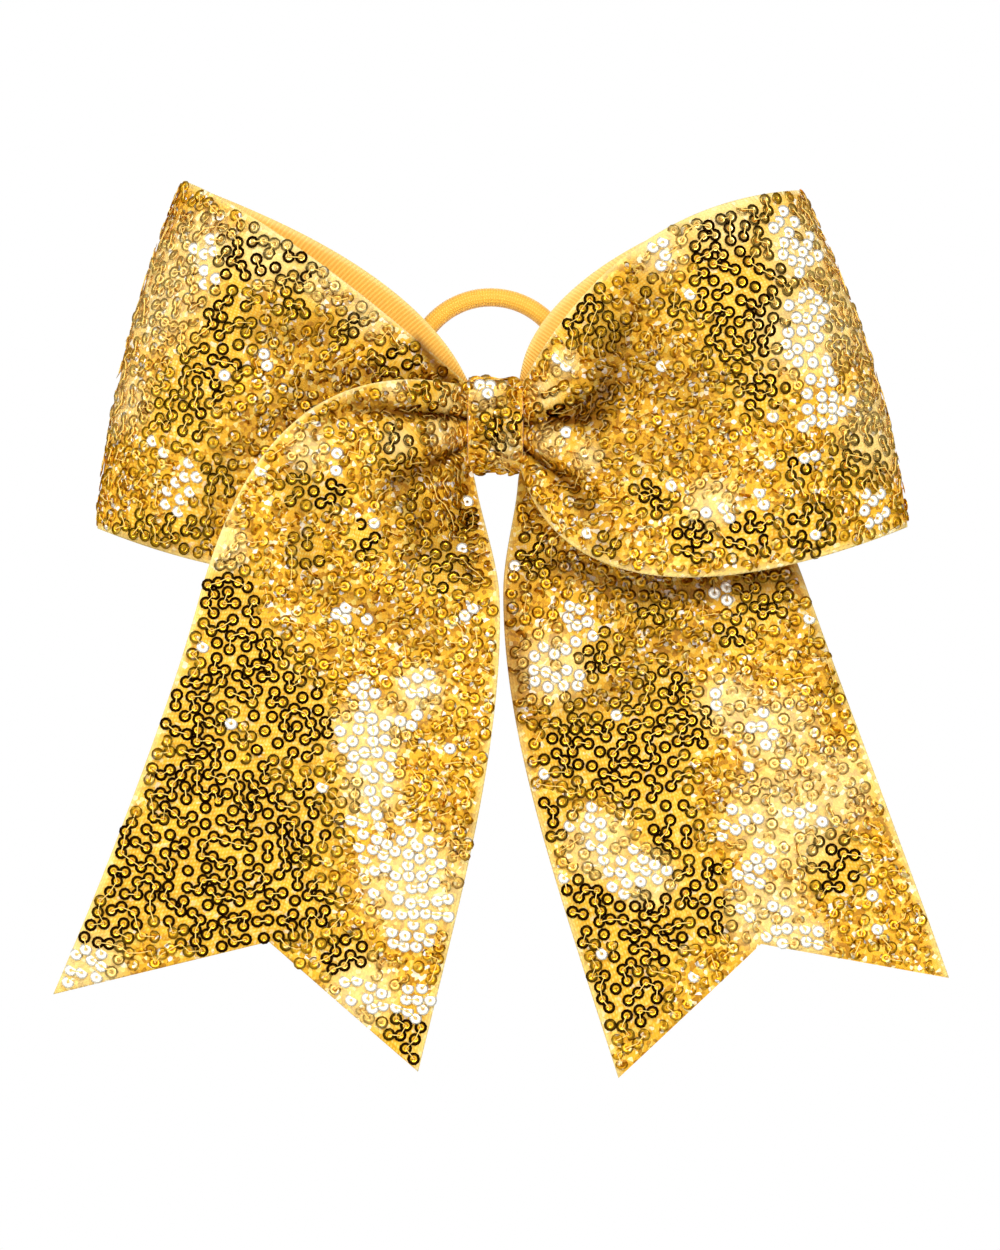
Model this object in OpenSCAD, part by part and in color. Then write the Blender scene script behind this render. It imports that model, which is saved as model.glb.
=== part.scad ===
// Cheer hair bow: two loops and two tails of lined sequin fabric, a wrapped knot and a hair elastic.
// The bow's front faces -Y and +Z is up. The origin is the centre of the knot's flat back face.

/* [Ribbon] */
// Thickness of the grosgrain lining
lining_t = 0.5; // [0.3:0.1:0.6]
// Thickness of the sequinned net facing
facing_t = 0.7; // [0.4:0.1:0.8]
// How deep each loop would open if it were not pinched, from its mid-plane
loop_depth = 24; // [18:1:26]
// How far the tails' notch is cut up from the tips
notch_depth = 20; // [5:1:30]

/* [Knot] */
// Width of the wrap across the bow
knot_w = 11.7; // [10:0.1:12]
// Height of the wrap
knot_h = 20; // [20:0.5:22]
// Depth of the wrap from its back face to its front face
knot_depth = 15.8; // [15.8:0.1:17]

/* [Elastic] */
// Diameter of the elastic
elastic_d = 4; // [3:0.1:4]
// Radius of the elastic's round stretch, to its centre line
elastic_ring_r = 17; // [16:1:20]
// Height of the round stretch's centre over the knot's centre
elastic_ring_z = 10.7; // [10:0.1:13]

/* [Hidden] */
$fn = 48;

// The knot and the gathered waist inside it
wrap_facing_t = 0.5;
wrap_lining_t = 0.6;
wrap_corner_r = 3;
waist_back = 6;
waist_front = 14;
waist_half_h = 8;
layer_corner_r = 1;
layer_gap = 0.05;
thread_t = 0.55;
thread_corner_r = layer_corner_r;
thread_turns = 3;
thread_pitch = 1.2;
glue_x = 2;
glue_w = 3.4;
glue_h = 12;

// The elastic: a straight stretch in the knot's tunnel, two bends and the round stretch
elastic_x = -1;
elastic_y = -3.25;
elastic_r = elastic_d / 2;
core_r = elastic_r - 0.5;
tunnel_half = 6.5;
bend_r = 8;
bend_offset = elastic_ring_r - bend_r;
bend_drop = sqrt(bend_offset * bend_offset - tunnel_half * tunnel_half);
elastic_z = elastic_ring_z - bend_drop - bend_r;
bend_angle = atan2(-bend_drop, tunnel_half);
bend_steps = 4;
ring_steps = 28;
elastic_sides = 12;
cover_end_gap = 0.1;
core_gap = 0.1;
joint_l = 6;

// Gap between a facing and its lining
skin_gap = 0.05;

// The loops' plies, seen from the front as [x, z]: each edge is a cubic curve from the knot to the fold
root_x = 7.2;
left_fold_top = [-66.6, 52.3];
left_fold_middle = [-78.8, 15.7];
left_fold_bottom = [-85, -22.2];
left_front_top = [[-root_x, 8], [-17, 19], [-42, 38], left_fold_top];
left_back_top = [[-root_x, 8], [-11, 24], [-36, 43.5], left_fold_top];
left_middle = [[-root_x, 0], [-28, 2], [-52, 9], left_fold_middle];
left_bottom = [[-root_x, -8], [-11, -34], [-40, -40], left_fold_bottom];
right_fold_top = [65, 50.2];
right_fold_middle = [80, 14.4];
right_fold_bottom = [88.1, -21.9];
right_front_top = [[root_x, 7.5], [12.5, 22], [30, 47], right_fold_top];
right_back_top = [[root_x, 8.5], [4.5, 24], [28, 44.5], right_fold_top];
right_middle = [[root_x, 0], [28, 2], [52, 9], right_fold_middle];
right_bottom = [[root_x, -8], [11, -34], [40, -41], right_fold_bottom];

// The loops' mid-plane leaves the waist and leans forwards, clear of the elastic
plane_y = -10;
plane_lean = 26;
left_root_gap = 1.2;
right_root_gap = 2;

// The lobes run from the knot to the line where each tail hangs
lobe_root_x = 7.2;
hang_z = -37;
hang_gap = 0.3;
left_lobe_outer = [[-lobe_root_x, 8], [-38, 15], [-54.5, -6], [-62.9, hang_z + hang_gap]];
left_lobe_middle = [[-lobe_root_x, 0], [-22, -3], [-30, -18], [-31, hang_z + hang_gap]];
left_lobe_inner = [[-lobe_root_x, -8], [-4, -19], [0.5, -29], [0.8, hang_z + hang_gap]];
right_lobe_outer = [[lobe_root_x, 8], [38, 14], [56, -4], [67.2, hang_z + hang_gap]];
right_lobe_middle = [[lobe_root_x, 0], [22, -3], [32, -18], [34.5, hang_z + hang_gap]];
right_lobe_inner = [[lobe_root_x, -8], [6.2, -18], [1.6, -28], [1.8, hang_z + hang_gap]];

// Where each lobe starts at the waist, how far forward it rises and where its tail hangs
left_lobe_y = -13.3;
left_lobe_rise = 21;
left_hang_y = -30;
right_lobe_y = -9.9;
right_lobe_rise = 9.5;
right_hang_y = -20;
lobe_rise_x = 14;
lobe_fall_z = -10;

// The tails: outer edge, middle line to the notch and inner edge
left_tail_outer = [[-62.9, hang_z - hang_gap], [-69, -60], [-81, -91], [-94.2, -121.6]];
left_tail_inner = [[0.8, hang_z - hang_gap], [2, -68], [-8, -103], [-16.5, -138.1]];
left_notch = [-48.2, -130.2 + notch_depth];
left_tail_middle = [[-31, hang_z - hang_gap], [-34, -60], [-41, -87], left_notch];
right_tail_outer = [[67.2, hang_z - hang_gap], [76, -62], [87, -90], [97, -118.4]];
right_tail_inner = [[1.8, hang_z - hang_gap], [1.8, -66], [13, -98], [26.4, -139.8]];
right_notch = [56.7, -131 + notch_depth];
right_tail_middle = [[34.5, hang_z - hang_gap], [38, -60], [47, -87], right_notch];
left_tail_back_drift = 6;
right_tail_back_drift = 3;
tail_curl = 3;

// How finely each sheet is divided
loop_steps = 20;
lobe_steps = 8;
tail_steps = 8;
width_steps = 8;

// ---- Curves ----

// A cubic curve with four control points
function cubic(p, t) =
    p[0] * pow(1 - t, 3) + 3 * p[1] * t * pow(1 - t, 2) + 3 * p[2] * t * t * (1 - t) + p[3] * pow(t, 3);

// A smooth curve through three points, a at 0, b at a half and c at 1
function through(a, b, c, v) = a * (1 - v) * (1 - 2 * v) + 4 * b * v * (1 - v) + c * v * (2 * v - 1);

function mix(a, b, k) = a + (b - a) * k;

// A ramp that starts and ends gently
function ease(k) = let (c = min(1, max(0, k))) c * c * (3 - 2 * c);

function steps(n) = [for (i = [0 : n]) i / n];

// Each four-sided face as two triangles
function split(quads) = [for (q = quads) each [[q[0], q[1], q[2]], [q[0], q[2], q[3]]]];

// ---- Grids of points: rows run along the ribbon, columns across it ----

// One whole loop, out along the front ply, round the fold and home along the back ply
function loop_grid(front_edges, back_edges, root_gap) = [
    for (s = steps(loop_steps))
        let (
            out = sin(180 * s),
            home = (1 - cos(180 * s)) / 2,
            plane = plane_y - plane_lean * out * (1 - out),
            half_depth = cos(180 * s) * mix(root_gap, loop_depth, ease(out)),
            edge = [for (k = [0 : 2]) mix(cubic(front_edges[k], out), cubic(back_edges[k], out), home)]
        )
        [for (v = steps(width_steps))
            let (p = through(edge[0], edge[1], edge[2], v)) [p[0], plane - half_depth, p[1]]]
];

// How far forward a lobe lies at a place seen from the front
function lobe_y(p, root_y, rise, hang_y) =
    let (
        out = max(0, abs(p[0]) - lobe_root_x),
        over_loop = root_y - rise * (1 - exp(-out / lobe_rise_x)),
        down = ease((lobe_fall_z - p[1]) / (lobe_fall_z - hang_z - hang_gap))
    )
    mix(over_loop, hang_y, down);

function lobe_grid(edges, root_y, rise, hang_y) = [
    for (u = steps(lobe_steps))
        let (edge = [for (k = [0 : 2]) cubic(edges[k], u)])
        [for (v = steps(width_steps))
            let (p = through(edge[0], edge[1], edge[2], v))
            [p[0], lobe_y(p, root_y, rise, hang_y), p[1]]]
];

// A tail's straight cuts run from each tip to the notch on the middle line
function tail_grid(edges, hang_y, drift) = [
    for (u = steps(tail_steps))
        let (edge = [for (k = [0 : 2]) cubic(edges[k], u)])
        [for (v = steps(width_steps))
            let (
                p = v < 0.5 ? mix(edge[0], edge[1], 2 * v) : mix(edge[1], edge[2], 2 * v - 1),
                curl = tail_curl * ease(2 * u) * (1 - pow(2 * v - 1, 2))
            )
            [p[0], hang_y + drift * u * u - curl, p[1]]]
];

// ---- A closed solid between two skins that follow a grid ----

function square_to(g, i, j) =
    let (
        along = g[min(i + 1, len(g) - 1)][j] - g[max(i - 1, 0)][j],
        across = g[i][min(j + 1, len(g[0]) - 1)] - g[i][max(j - 1, 0)],
        n = cross(along, across)
    )
    n / norm(n);

module sheet(g, low, high) {
    rows = len(g);
    columns = len(g[0]);
    function at(side, i, j) = (side * rows + i) * columns + j;
    points = [
        for (height = [low, high], i = [0 : rows - 1], j = [0 : columns - 1])
            g[i][j] + height * square_to(g, i, j)
    ];
    skins = [
        for (i = [0 : rows - 2], j = [0 : columns - 2])
            each [
                [at(1, i, j), at(1, i, j + 1), at(1, i + 1, j + 1), at(1, i + 1, j)],
                [at(0, i, j), at(0, i + 1, j), at(0, i + 1, j + 1), at(0, i, j + 1)]
            ]
    ];
    last_row = rows - 1;
    end_walls = [
        for (j = [0 : columns - 2])
            each [
                [at(1, 0, j + 1), at(1, 0, j), at(0, 0, j), at(0, 0, j + 1)],
                [at(1, last_row, j), at(1, last_row, j + 1), at(0, last_row, j + 1), at(0, last_row, j)]
            ]
    ];
    last_column = columns - 1;
    side_walls = [
        for (i = [0 : rows - 2])
            each [
                [at(1, i, 0), at(1, i + 1, 0), at(0, i + 1, 0), at(0, i, 0)],
                [at(1, i + 1, last_column), at(1, i, last_column), at(0, i, last_column), at(0, i + 1, last_column)]
            ]
    ];
    polyhedron(points, split(concat(skins, end_walls, side_walls)));
}

module lining_sheet(g) {
    color("goldenrod") sheet(g, -lining_t / 2, lining_t / 2);
}

module facing_sheet(g) {
    inner = lining_t / 2 + skin_gap;
    color("gold") sheet(g, inner, inner + facing_t);
}

// ---- Each ribbon stretch, with its columns ordered so that the facing comes out in front ----

left_loop = loop_grid(
    [left_front_top, left_middle, left_bottom],
    [left_back_top, left_middle, left_bottom],
    left_root_gap
);
right_loop = loop_grid(
    [right_bottom, right_middle, right_front_top],
    [right_bottom, right_middle, right_back_top],
    right_root_gap
);
left_lobe = lobe_grid(
    [left_lobe_outer, left_lobe_middle, left_lobe_inner], left_lobe_y, left_lobe_rise, left_hang_y
);
right_lobe = lobe_grid(
    [right_lobe_inner, right_lobe_middle, right_lobe_outer], right_lobe_y, right_lobe_rise, right_hang_y
);
left_tail = tail_grid(
    [left_tail_outer, left_tail_middle, left_tail_inner], left_hang_y, left_tail_back_drift
);
right_tail = tail_grid(
    [right_tail_inner, right_tail_middle, right_tail_outer], right_hang_y, right_tail_back_drift
);

module left_loop_facing() facing_sheet(left_loop);
module left_loop_lining() lining_sheet(left_loop);
module right_loop_facing() facing_sheet(right_loop);
module right_loop_lining() lining_sheet(right_loop);
module left_lobe_facing() facing_sheet(left_lobe);
module left_lobe_lining() lining_sheet(left_lobe);
module right_lobe_facing() facing_sheet(right_lobe);
module right_lobe_lining() lining_sheet(right_lobe);
module left_tail_facing() facing_sheet(left_tail);
module left_tail_lining() lining_sheet(left_tail);
module right_tail_facing() facing_sheet(right_tail);
module right_tail_lining() lining_sheet(right_tail);

// ---- The knot ----

// A rounded rectangle, from back to front along the first axis and up along the second
module rounded_profile(back, front, half_h, corner) {
    translate([-front, -half_h + corner]) square([front - back, 2 * half_h - 2 * corner]);
    translate([-front + corner, -half_h]) square([front - back - 2 * corner, 2 * half_h]);
    for (y = [-front + corner, -back - corner], z = [-half_h + corner, half_h - corner])
        translate([y, z]) circle(corner);
}

// Extrudes a profile along X, to both sides of the bow's middle
module along_x(width) {
    rotate([90, 0, 90]) linear_extrude(width, center = true) children();
}

// A flat band round the waist, in from the knot's outer faces by inset
module wrap_band(inset, thickness) {
    along_x(knot_w) difference() {
        rounded_profile(inset, knot_depth - inset, knot_h / 2 - inset, wrap_corner_r - inset);
        rounded_profile(
            inset + thickness, knot_depth - inset - thickness,
            knot_h / 2 - inset - thickness, wrap_corner_r - inset - thickness
        );
    }
}

module knot_facing() {
    color("gold") wrap_band(0, wrap_facing_t);
}

module knot_lining() {
    color("goldenrod") wrap_band(wrap_facing_t, wrap_lining_t);
}

// Two pads of glue hold the wrap on the front of the waist, one each side of the thread
module knot_glue() {
    pad_t = knot_depth - wrap_facing_t - wrap_lining_t - waist_front;
    color("ivory") for (side = [-1, 1])
        translate([side * (glue_x + glue_w / 2), -waist_front - pad_t / 2, 0])
            cube([glue_w, pad_t, glue_h], center = true);
}

// The gathered ribbon inside the knot, in three layers from the front
layer_t = (waist_front - waist_back) / 3;

module waist_layer(index) {
    front = waist_front - index * layer_t;
    color("goldenrod") along_x(knot_w)
        rounded_profile(front - layer_t + layer_gap, front, waist_half_h, layer_corner_r);
}

module waist_front_layer() waist_layer(0);
module waist_middle_layer() waist_layer(1);
module waist_rear_layer() waist_layer(2);

// Turns of thread that pull the ribbon in to the waist
module cinch_thread() {
    color("khaki") for (turn = [0 : thread_turns - 1])
        translate([(turn - (thread_turns - 1) / 2) * thread_pitch, 0, 0])
            along_x(thread_t) difference() {
                rounded_profile(
                    waist_back - thread_t, waist_front + thread_t,
                    waist_half_h + thread_t, thread_corner_r + thread_t
                );
                rounded_profile(waist_back, waist_front, waist_half_h, thread_corner_r);
            }
}

// ---- The elastic ----

// Places along an arc, each as [x, z, the direction that faces out of the ring]
function arc_route(x, z, r, from, to, count) =
    [for (k = [1 : count]) let (a = mix(from, to, k / count)) [x + r * cos(a), z + r * sin(a), a]];

// The elastic's line, starting and ending this far from the middle of its straight stretch
function elastic_route(end_gap) = concat(
    [[end_gap, elastic_z, -90], [tunnel_half, elastic_z, -90]],
    arc_route(tunnel_half, elastic_z + bend_r, bend_r, -90, bend_angle, bend_steps),
    arc_route(0, elastic_ring_z, elastic_ring_r, bend_angle, 180 - bend_angle, ring_steps),
    arc_route(-tunnel_half, elastic_z + bend_r, bend_r, 180 - bend_angle, 270, bend_steps),
    [[-end_gap, elastic_z, 270]]
);

// One ring of points round each place on the route
function rings(route, r) = [
    for (place = route, k = [0 : elastic_sides - 1])
        let (
            turn = 360 * k / elastic_sides,
            out = r * cos(turn)
        )
        [elastic_x + place[0] + out * cos(place[2]), elastic_y + r * sin(turn), place[1] + out * sin(place[2])]
];

// The quads of one skin, from the ring that starts at the first index
function skin_quads(first, count) = [
    for (i = [0 : count - 2], k = [0 : elastic_sides - 1])
        let (
            here = first + i * elastic_sides + k,
            beside = first + i * elastic_sides + (k + 1) % elastic_sides
        )
        [here, here + elastic_sides, beside + elastic_sides, beside]
];

function flipped(quads) = [for (q = quads) [q[3], q[2], q[1], q[0]]];

// A knitted sleeve whose two ends nearly meet over the joint
module elastic_cover() {
    route = elastic_route(cover_end_gap);
    count = len(route);
    inside = count * elastic_sides;
    last = (count - 1) * elastic_sides;
    end_rims = [
        for (k = [0 : elastic_sides - 1])
            let (next = (k + 1) % elastic_sides)
            each [
                [k, next, inside + next, inside + k],
                [last + next, last + k, inside + last + k, inside + last + next]
            ]
    ];
    quads = concat(skin_quads(0, count), flipped(skin_quads(inside, count)), end_rims);
    color("orange") polyhedron(concat(rings(route, elastic_r), rings(route, core_r)), split(quads));
}

// The rubber stops at the joint on both sides
module elastic_core() {
    route = elastic_route(joint_l / 2 + skin_gap);
    count = len(route);
    last = (count - 1) * elastic_sides;
    caps = [
        for (k = [1 : elastic_sides - 2])
            each [[0, k, k + 1], [last, last + k + 1, last + k]]
    ];
    color("tan") polyhedron(rings(route, core_r - core_gap), concat(split(skin_quads(0, count)), caps));
}

// The glued joint between the rubber's ends
module elastic_joint() {
    color("ivory") translate([elastic_x, elastic_y, elastic_z]) rotate([0, 90, 0])
        cylinder(h = joint_l, r = core_r - core_gap, center = true);
}

knot_facing();
knot_lining();
knot_glue();
waist_front_layer();
waist_middle_layer();
waist_rear_layer();
cinch_thread();
left_lobe_facing();
left_lobe_lining();
right_lobe_facing();
right_lobe_lining();
left_loop_facing();
left_loop_lining();
right_loop_facing();
right_loop_lining();
left_tail_facing();
left_tail_lining();
right_tail_facing();
right_tail_lining();
elastic_cover();
elastic_core();
elastic_joint();
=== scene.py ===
# %% [markdown]
# # A sequinned cheer bow
# The real bow is one strip of wide grosgrain ribbon with a sequinned net sewn over it. The strip is
# folded into two loops and two tails, pinched at the waist and wrapped with a short band. This script
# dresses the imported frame: every piece is placed in the frame's own coordinates, so nothing is fitted
# by eye afterwards. Lengths are written in millimetres, as a sewing pattern would be, and turned into
# metres when a mesh is made.

import math

import bmesh
import bpy
import numpy as np
from mathutils import Matrix, Vector, kdtree


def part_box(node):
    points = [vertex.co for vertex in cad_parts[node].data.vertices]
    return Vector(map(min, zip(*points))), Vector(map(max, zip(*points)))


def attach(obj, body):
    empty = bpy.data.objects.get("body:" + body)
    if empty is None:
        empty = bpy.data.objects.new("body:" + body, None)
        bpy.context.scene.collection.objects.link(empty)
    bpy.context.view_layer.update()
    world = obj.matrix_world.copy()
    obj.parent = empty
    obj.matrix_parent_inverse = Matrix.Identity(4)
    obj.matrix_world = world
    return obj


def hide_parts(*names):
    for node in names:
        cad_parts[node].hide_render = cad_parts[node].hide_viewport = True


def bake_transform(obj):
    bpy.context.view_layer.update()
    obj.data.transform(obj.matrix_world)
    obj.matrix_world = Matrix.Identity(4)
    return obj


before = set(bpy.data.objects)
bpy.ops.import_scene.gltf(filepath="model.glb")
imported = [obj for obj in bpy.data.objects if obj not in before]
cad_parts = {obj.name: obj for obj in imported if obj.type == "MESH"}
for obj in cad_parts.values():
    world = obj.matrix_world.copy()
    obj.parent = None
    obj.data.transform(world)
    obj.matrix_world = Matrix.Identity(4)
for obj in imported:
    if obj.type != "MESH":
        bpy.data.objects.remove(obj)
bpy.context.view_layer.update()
MM = 0.001

# %% [markdown]
# ## The camera and the light
# A long lens from two metres keeps the perspective gentle, as a product picture does. The camera
# looks straight at the bow's front, along +Y. The lens is worked out from the height of the view that
# it should cover at the bow, so the framing stays right if the distance is changed.

# %% Camera
VIEW_HEIGHT = 266.8 * MM
VIEW_CENTRE = (1.0 * MM, -42.9 * MM)
BOW_PLANE = -22 * MM
CAMERA_DISTANCE = 2.0

camera_data = bpy.data.cameras.new("camera")
camera_data.sensor_fit = "VERTICAL"
camera_data.sensor_height = 36
camera_data.lens = 36 * CAMERA_DISTANCE / VIEW_HEIGHT
camera_data.clip_end = 20
camera = bpy.data.objects.new("camera", camera_data)
camera.location = (VIEW_CENTRE[0], BOW_PLANE - CAMERA_DISTANCE, VIEW_CENTRE[1])
camera.rotation_euler = (math.pi / 2, 0, 0)
bpy.context.scene.collection.objects.link(camera)
bpy.context.scene.camera = camera
print("lens, mm:", round(camera_data.lens, 1))

# %% Softboxes
KEY_PLACE = Vector((0.55, -1.55, 0.95))


def softbox(name, place, size, power):
    """A square area light that faces the bow."""
    data = bpy.data.lights.new(name, "AREA")
    data.size = size
    data.energy = power
    light = bpy.data.objects.new(name, data)
    light.location = place
    light.rotation_euler = (-Vector(place)).to_track_quat("-Z", "Y").to_euler()
    bpy.context.scene.collection.objects.link(light)
    print(name, "power, W:", power)


softbox("key_softbox", KEY_PLACE, 0.4, 18)
softbox("front_softbox", (-0.25, -2.2, 0.45), 1.0, 17)
softbox("left_softbox", (-1.6, -0.7, 0.5), 0.7, 9)
softbox("back_softbox", (0.3, 1.6, 0.9), 0.9, 16)

# %% [markdown]
# ## The world
# The backdrop is plain white to the camera. What lights the bow is dimmer and has a direction, bright
# above and duller below, because a mirror-like sequin shows its surroundings, and surroundings that
# are white all round would make it look like paper.

# %% World
BACKDROP_LIGHT = 1.0
SKY_LIGHT = 0.62
GROUND_LIGHT = 0.2
GROUND_HEIGHT = -0.6
SKY_HEIGHT = 0.8

world = bpy.data.worlds.new("studio")
world.use_nodes = True
bpy.context.scene.world = world
world_nodes = world.node_tree.nodes
world_links = world.node_tree.links
world_nodes.clear()
world_out = world_nodes.new("ShaderNodeOutputWorld")
to_camera = world_nodes.new("ShaderNodeBackground")
to_camera.inputs["Strength"].default_value = BACKDROP_LIGHT
to_camera.inputs["Color"].default_value = (1, 1, 1, 1)
to_bow = world_nodes.new("ShaderNodeBackground")
direction = world_nodes.new("ShaderNodeTexCoord")
split_direction = world_nodes.new("ShaderNodeSeparateXYZ")
height_range = world_nodes.new("ShaderNodeMapRange")
height_range.inputs["From Min"].default_value = GROUND_HEIGHT
height_range.inputs["From Max"].default_value = SKY_HEIGHT
height_range.inputs["To Min"].default_value = GROUND_LIGHT
height_range.inputs["To Max"].default_value = SKY_LIGHT
light_path = world_nodes.new("ShaderNodeLightPath")
choose = world_nodes.new("ShaderNodeMixShader")
world_links.new(direction.outputs["Generated"], split_direction.inputs[0])
world_links.new(split_direction.outputs["Z"], height_range.inputs["Value"])
world_links.new(height_range.outputs["Result"], to_bow.inputs["Strength"])
world_links.new(light_path.outputs["Is Camera Ray"], choose.inputs["Fac"])
world_links.new(to_bow.outputs[0], choose.inputs[1])
world_links.new(to_camera.outputs[0], choose.inputs[2])
world_links.new(choose.outputs[0], world_out.inputs[0])
bpy.context.scene.view_settings.view_transform = "Standard"
print("light on the bow from below and from above:", GROUND_LIGHT, SKY_LIGHT)

# %% [markdown]
# ## Shader groups
# The net, the ribbon, the elastic and the sequins all vary a little in colour along their length. That
# drift is one node group, built once and used in each material with its own values. A second group
# turns two crossing waves on the cloth's own UV map into the little bumps of a knit or the ribs of
# grosgrain. The UV map is in millimetres of cloth, so a rib stays one rib wide wherever the ribbon
# bends. A third breaks a colour into small flakes of painted reflection, brown, gold and pale, that
# stand for foil that catches the light unevenly.


# %% Colours
def paint(red, green, blue):
    """A colour from a 0 to 255 paint chart, as the linear numbers that a shader wants."""
    chart = [c / 255 for c in (red, green, blue)]
    return tuple(c / 12.92 if c <= 0.04045 else ((c + 0.055) / 1.055) ** 2.4 for c in chart) + (1.0,)


NET_GOLD = paint(242, 176, 34)
NET_DOT = paint(255, 226, 112)
SELVEDGE_GOLD = paint(255, 232, 150)
# Painted shade: the deep brown that the creases are painted with.
SHADE_BROWN = paint(114, 67, 4)
# Painted light: the pale gold painted where the cloth lies towards the light.
SUNLIT_PALE = paint(255, 236, 166)
# Painted reflection: brown, gold and pale flakes that stand for tilted foil catching the light unevenly.
FLAKE_REFLECTION_BROWN = paint(180, 118, 16)
FLAKE_GOLD = paint(240, 178, 40)
FLAKE_HIGHLIGHT_PALE = paint(255, 226, 110)
GROSGRAIN_GOLD = paint(254, 202, 82)
GROSGRAIN_GROOVE = paint(240, 172, 46)
ELASTIC_GOLD = paint(255, 206, 84)
ELASTIC_GROOVE = paint(242, 176, 40)
FOIL_GOLD = paint(252, 196, 50)
# Painted reflection: the dark ring that a cup sequin's rim shows of its dark surroundings.
RING_REFLECTION_BROWN = paint(44, 24, 4)
FOIL_EDGE = paint(196, 138, 18)
# Painted highlight: the near-white foil of sequins that face the key light.
PAINTED_GLINT_WHITE = paint(255, 252, 238)
THREAD_PALE = paint(253, 214, 108)


# %% Node group helpers
def new_group(name, inputs, outputs):
    """An empty shader group with those sockets, and its input and output nodes."""
    group = bpy.data.node_groups.new(name, "ShaderNodeTree")
    for label, kind, value in inputs:
        made = group.interface.new_socket(name=label, in_out="INPUT", socket_type=kind)
        if value is not None:
            made.default_value = value
    for label, kind in outputs:
        group.interface.new_socket(name=label, in_out="OUTPUT", socket_type=kind)
    return group, group.nodes.new("NodeGroupInput"), group.nodes.new("NodeGroupOutput")


def maths(nodes, links, operation, first, second=None):
    """A Math node fed by sockets or plain numbers; returns its output."""
    node = nodes.new("ShaderNodeMath")
    node.operation = operation
    for place, value in enumerate((first, second)):
        if value is None:
            continue
        if isinstance(value, (int, float)):
            node.inputs[place].default_value = value
        else:
            links.new(value, node.inputs[place])
    return node.outputs[0]


def mixed(nodes, links, factor, first, second):
    """A colour Mix node; each of the three may be a socket or a plain value. Returns its output."""
    node = nodes.new("ShaderNodeMix")
    node.data_type = "RGBA"
    for name, value in (("Factor_Float", factor), ("A_Color", first), ("B_Color", second)):
        entry = next(s for s in node.inputs if s.identifier == name)
        if isinstance(value, (int, float, tuple)):
            entry.default_value = value
        else:
            links.new(value, entry)
    return next(s for s in node.outputs if s.identifier == "Result_Color")


# %% Colour drift group
drift, drift_in, drift_out = new_group(
    "colour_drift",
    [
        ("Colour", "NodeSocketColor", None),
        ("Scale", "NodeSocketFloat", 60.0),
        ("Amount", "NodeSocketFloat", 0.15),
    ],
    [("Colour", "NodeSocketColor")],
)
drift_place = drift.nodes.new("ShaderNodeTexCoord")
drift_noise = drift.nodes.new("ShaderNodeTexNoise")
drift_noise.inputs["Detail"].default_value = 3
drift.links.new(drift_place.outputs["Object"], drift_noise.inputs["Vector"])
drift.links.new(drift_in.outputs["Scale"], drift_noise.inputs["Scale"])
drift_swing = maths(drift.nodes, drift.links, "SUBTRACT", drift_noise.outputs["Fac"], 0.5)
drift_share = maths(drift.nodes, drift.links, "MULTIPLY", drift_swing, drift_in.outputs["Amount"])
drift_gain = maths(drift.nodes, drift.links, "MULTIPLY_ADD", drift_share, 4.0)
drift_gain.node.inputs[2].default_value = 1.0
drift_scale = drift.nodes.new("ShaderNodeVectorMath")
drift_scale.operation = "SCALE"
drift.links.new(drift_in.outputs["Colour"], drift_scale.inputs[0])
drift.links.new(drift_gain, drift_scale.inputs["Scale"])
drift.links.new(drift_scale.outputs[0], drift_out.inputs["Colour"])

# %% Weave group
weave, weave_in, weave_out = new_group(
    "weave",
    [("Along pitch", "NodeSocketFloat", 0.8), ("Across pitch", "NodeSocketFloat", 0.8)],
    [("Ribs", "NodeSocketFloat"), ("Dots", "NodeSocketFloat")],
)
weave_uv = weave.nodes.new("ShaderNodeUVMap")
weave_uv.uv_map = "cloth"
weave_split = weave.nodes.new("ShaderNodeSeparateXYZ")
weave.links.new(weave_uv.outputs[0], weave_split.inputs[0])


def wave_of(axis, pitch):
    """A wave from 0 to 1 along one axis of the cloth, with that pitch in millimetres."""
    turns = maths(weave.nodes, weave.links, "DIVIDE", weave_split.outputs[axis], weave_in.outputs[pitch])
    angle = maths(weave.nodes, weave.links, "MULTIPLY", turns, 2 * math.pi)
    swing = maths(weave.nodes, weave.links, "SINE", angle)
    half = maths(weave.nodes, weave.links, "MULTIPLY", swing, 0.5)
    return maths(weave.nodes, weave.links, "ADD", half, 0.5)


along_wave = wave_of("X", "Along pitch")
across_wave = wave_of("Y", "Across pitch")
weave.links.new(along_wave, weave_out.inputs["Ribs"])
dots = maths(weave.nodes, weave.links, "MULTIPLY", along_wave, across_wave)
weave.links.new(dots, weave_out.inputs["Dots"])
print("shader groups:", drift.name, weave.name)

# %% Grain group: painted flakes of reflection
FLAKES_PER_M = 1200
FLAKE_STOPS = [
    (0.0, FLAKE_REFLECTION_BROWN), (0.16, FLAKE_REFLECTION_BROWN), (0.36, FLAKE_GOLD), (0.68, FLAKE_GOLD), (0.88, FLAKE_HIGHLIGHT_PALE),
]
grain, grain_in, grain_out = new_group(
    "foil_flake_reflections",
    [("Colour", "NodeSocketColor", None), ("Amount", "NodeSocketFloat", 0.5)],
    [("Colour", "NodeSocketColor")],
)
grain_place = grain.nodes.new("ShaderNodeTexCoord")
grain_cells = grain.nodes.new("ShaderNodeTexVoronoi")
grain_cells.inputs["Scale"].default_value = FLAKES_PER_M
grain_cells.inputs["Randomness"].default_value = 1.0
grain_value = grain.nodes.new("ShaderNodeSeparateXYZ")
grain_ramp = grain.nodes.new("ShaderNodeValToRGB")
for place, colour in FLAKE_STOPS:
    stop = grain_ramp.color_ramp.elements.new(place)
    stop.color = colour
grain_ramp.color_ramp.elements.remove(grain_ramp.color_ramp.elements[0])
grain.links.new(grain_place.outputs["Object"], grain_cells.inputs["Vector"])
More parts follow.
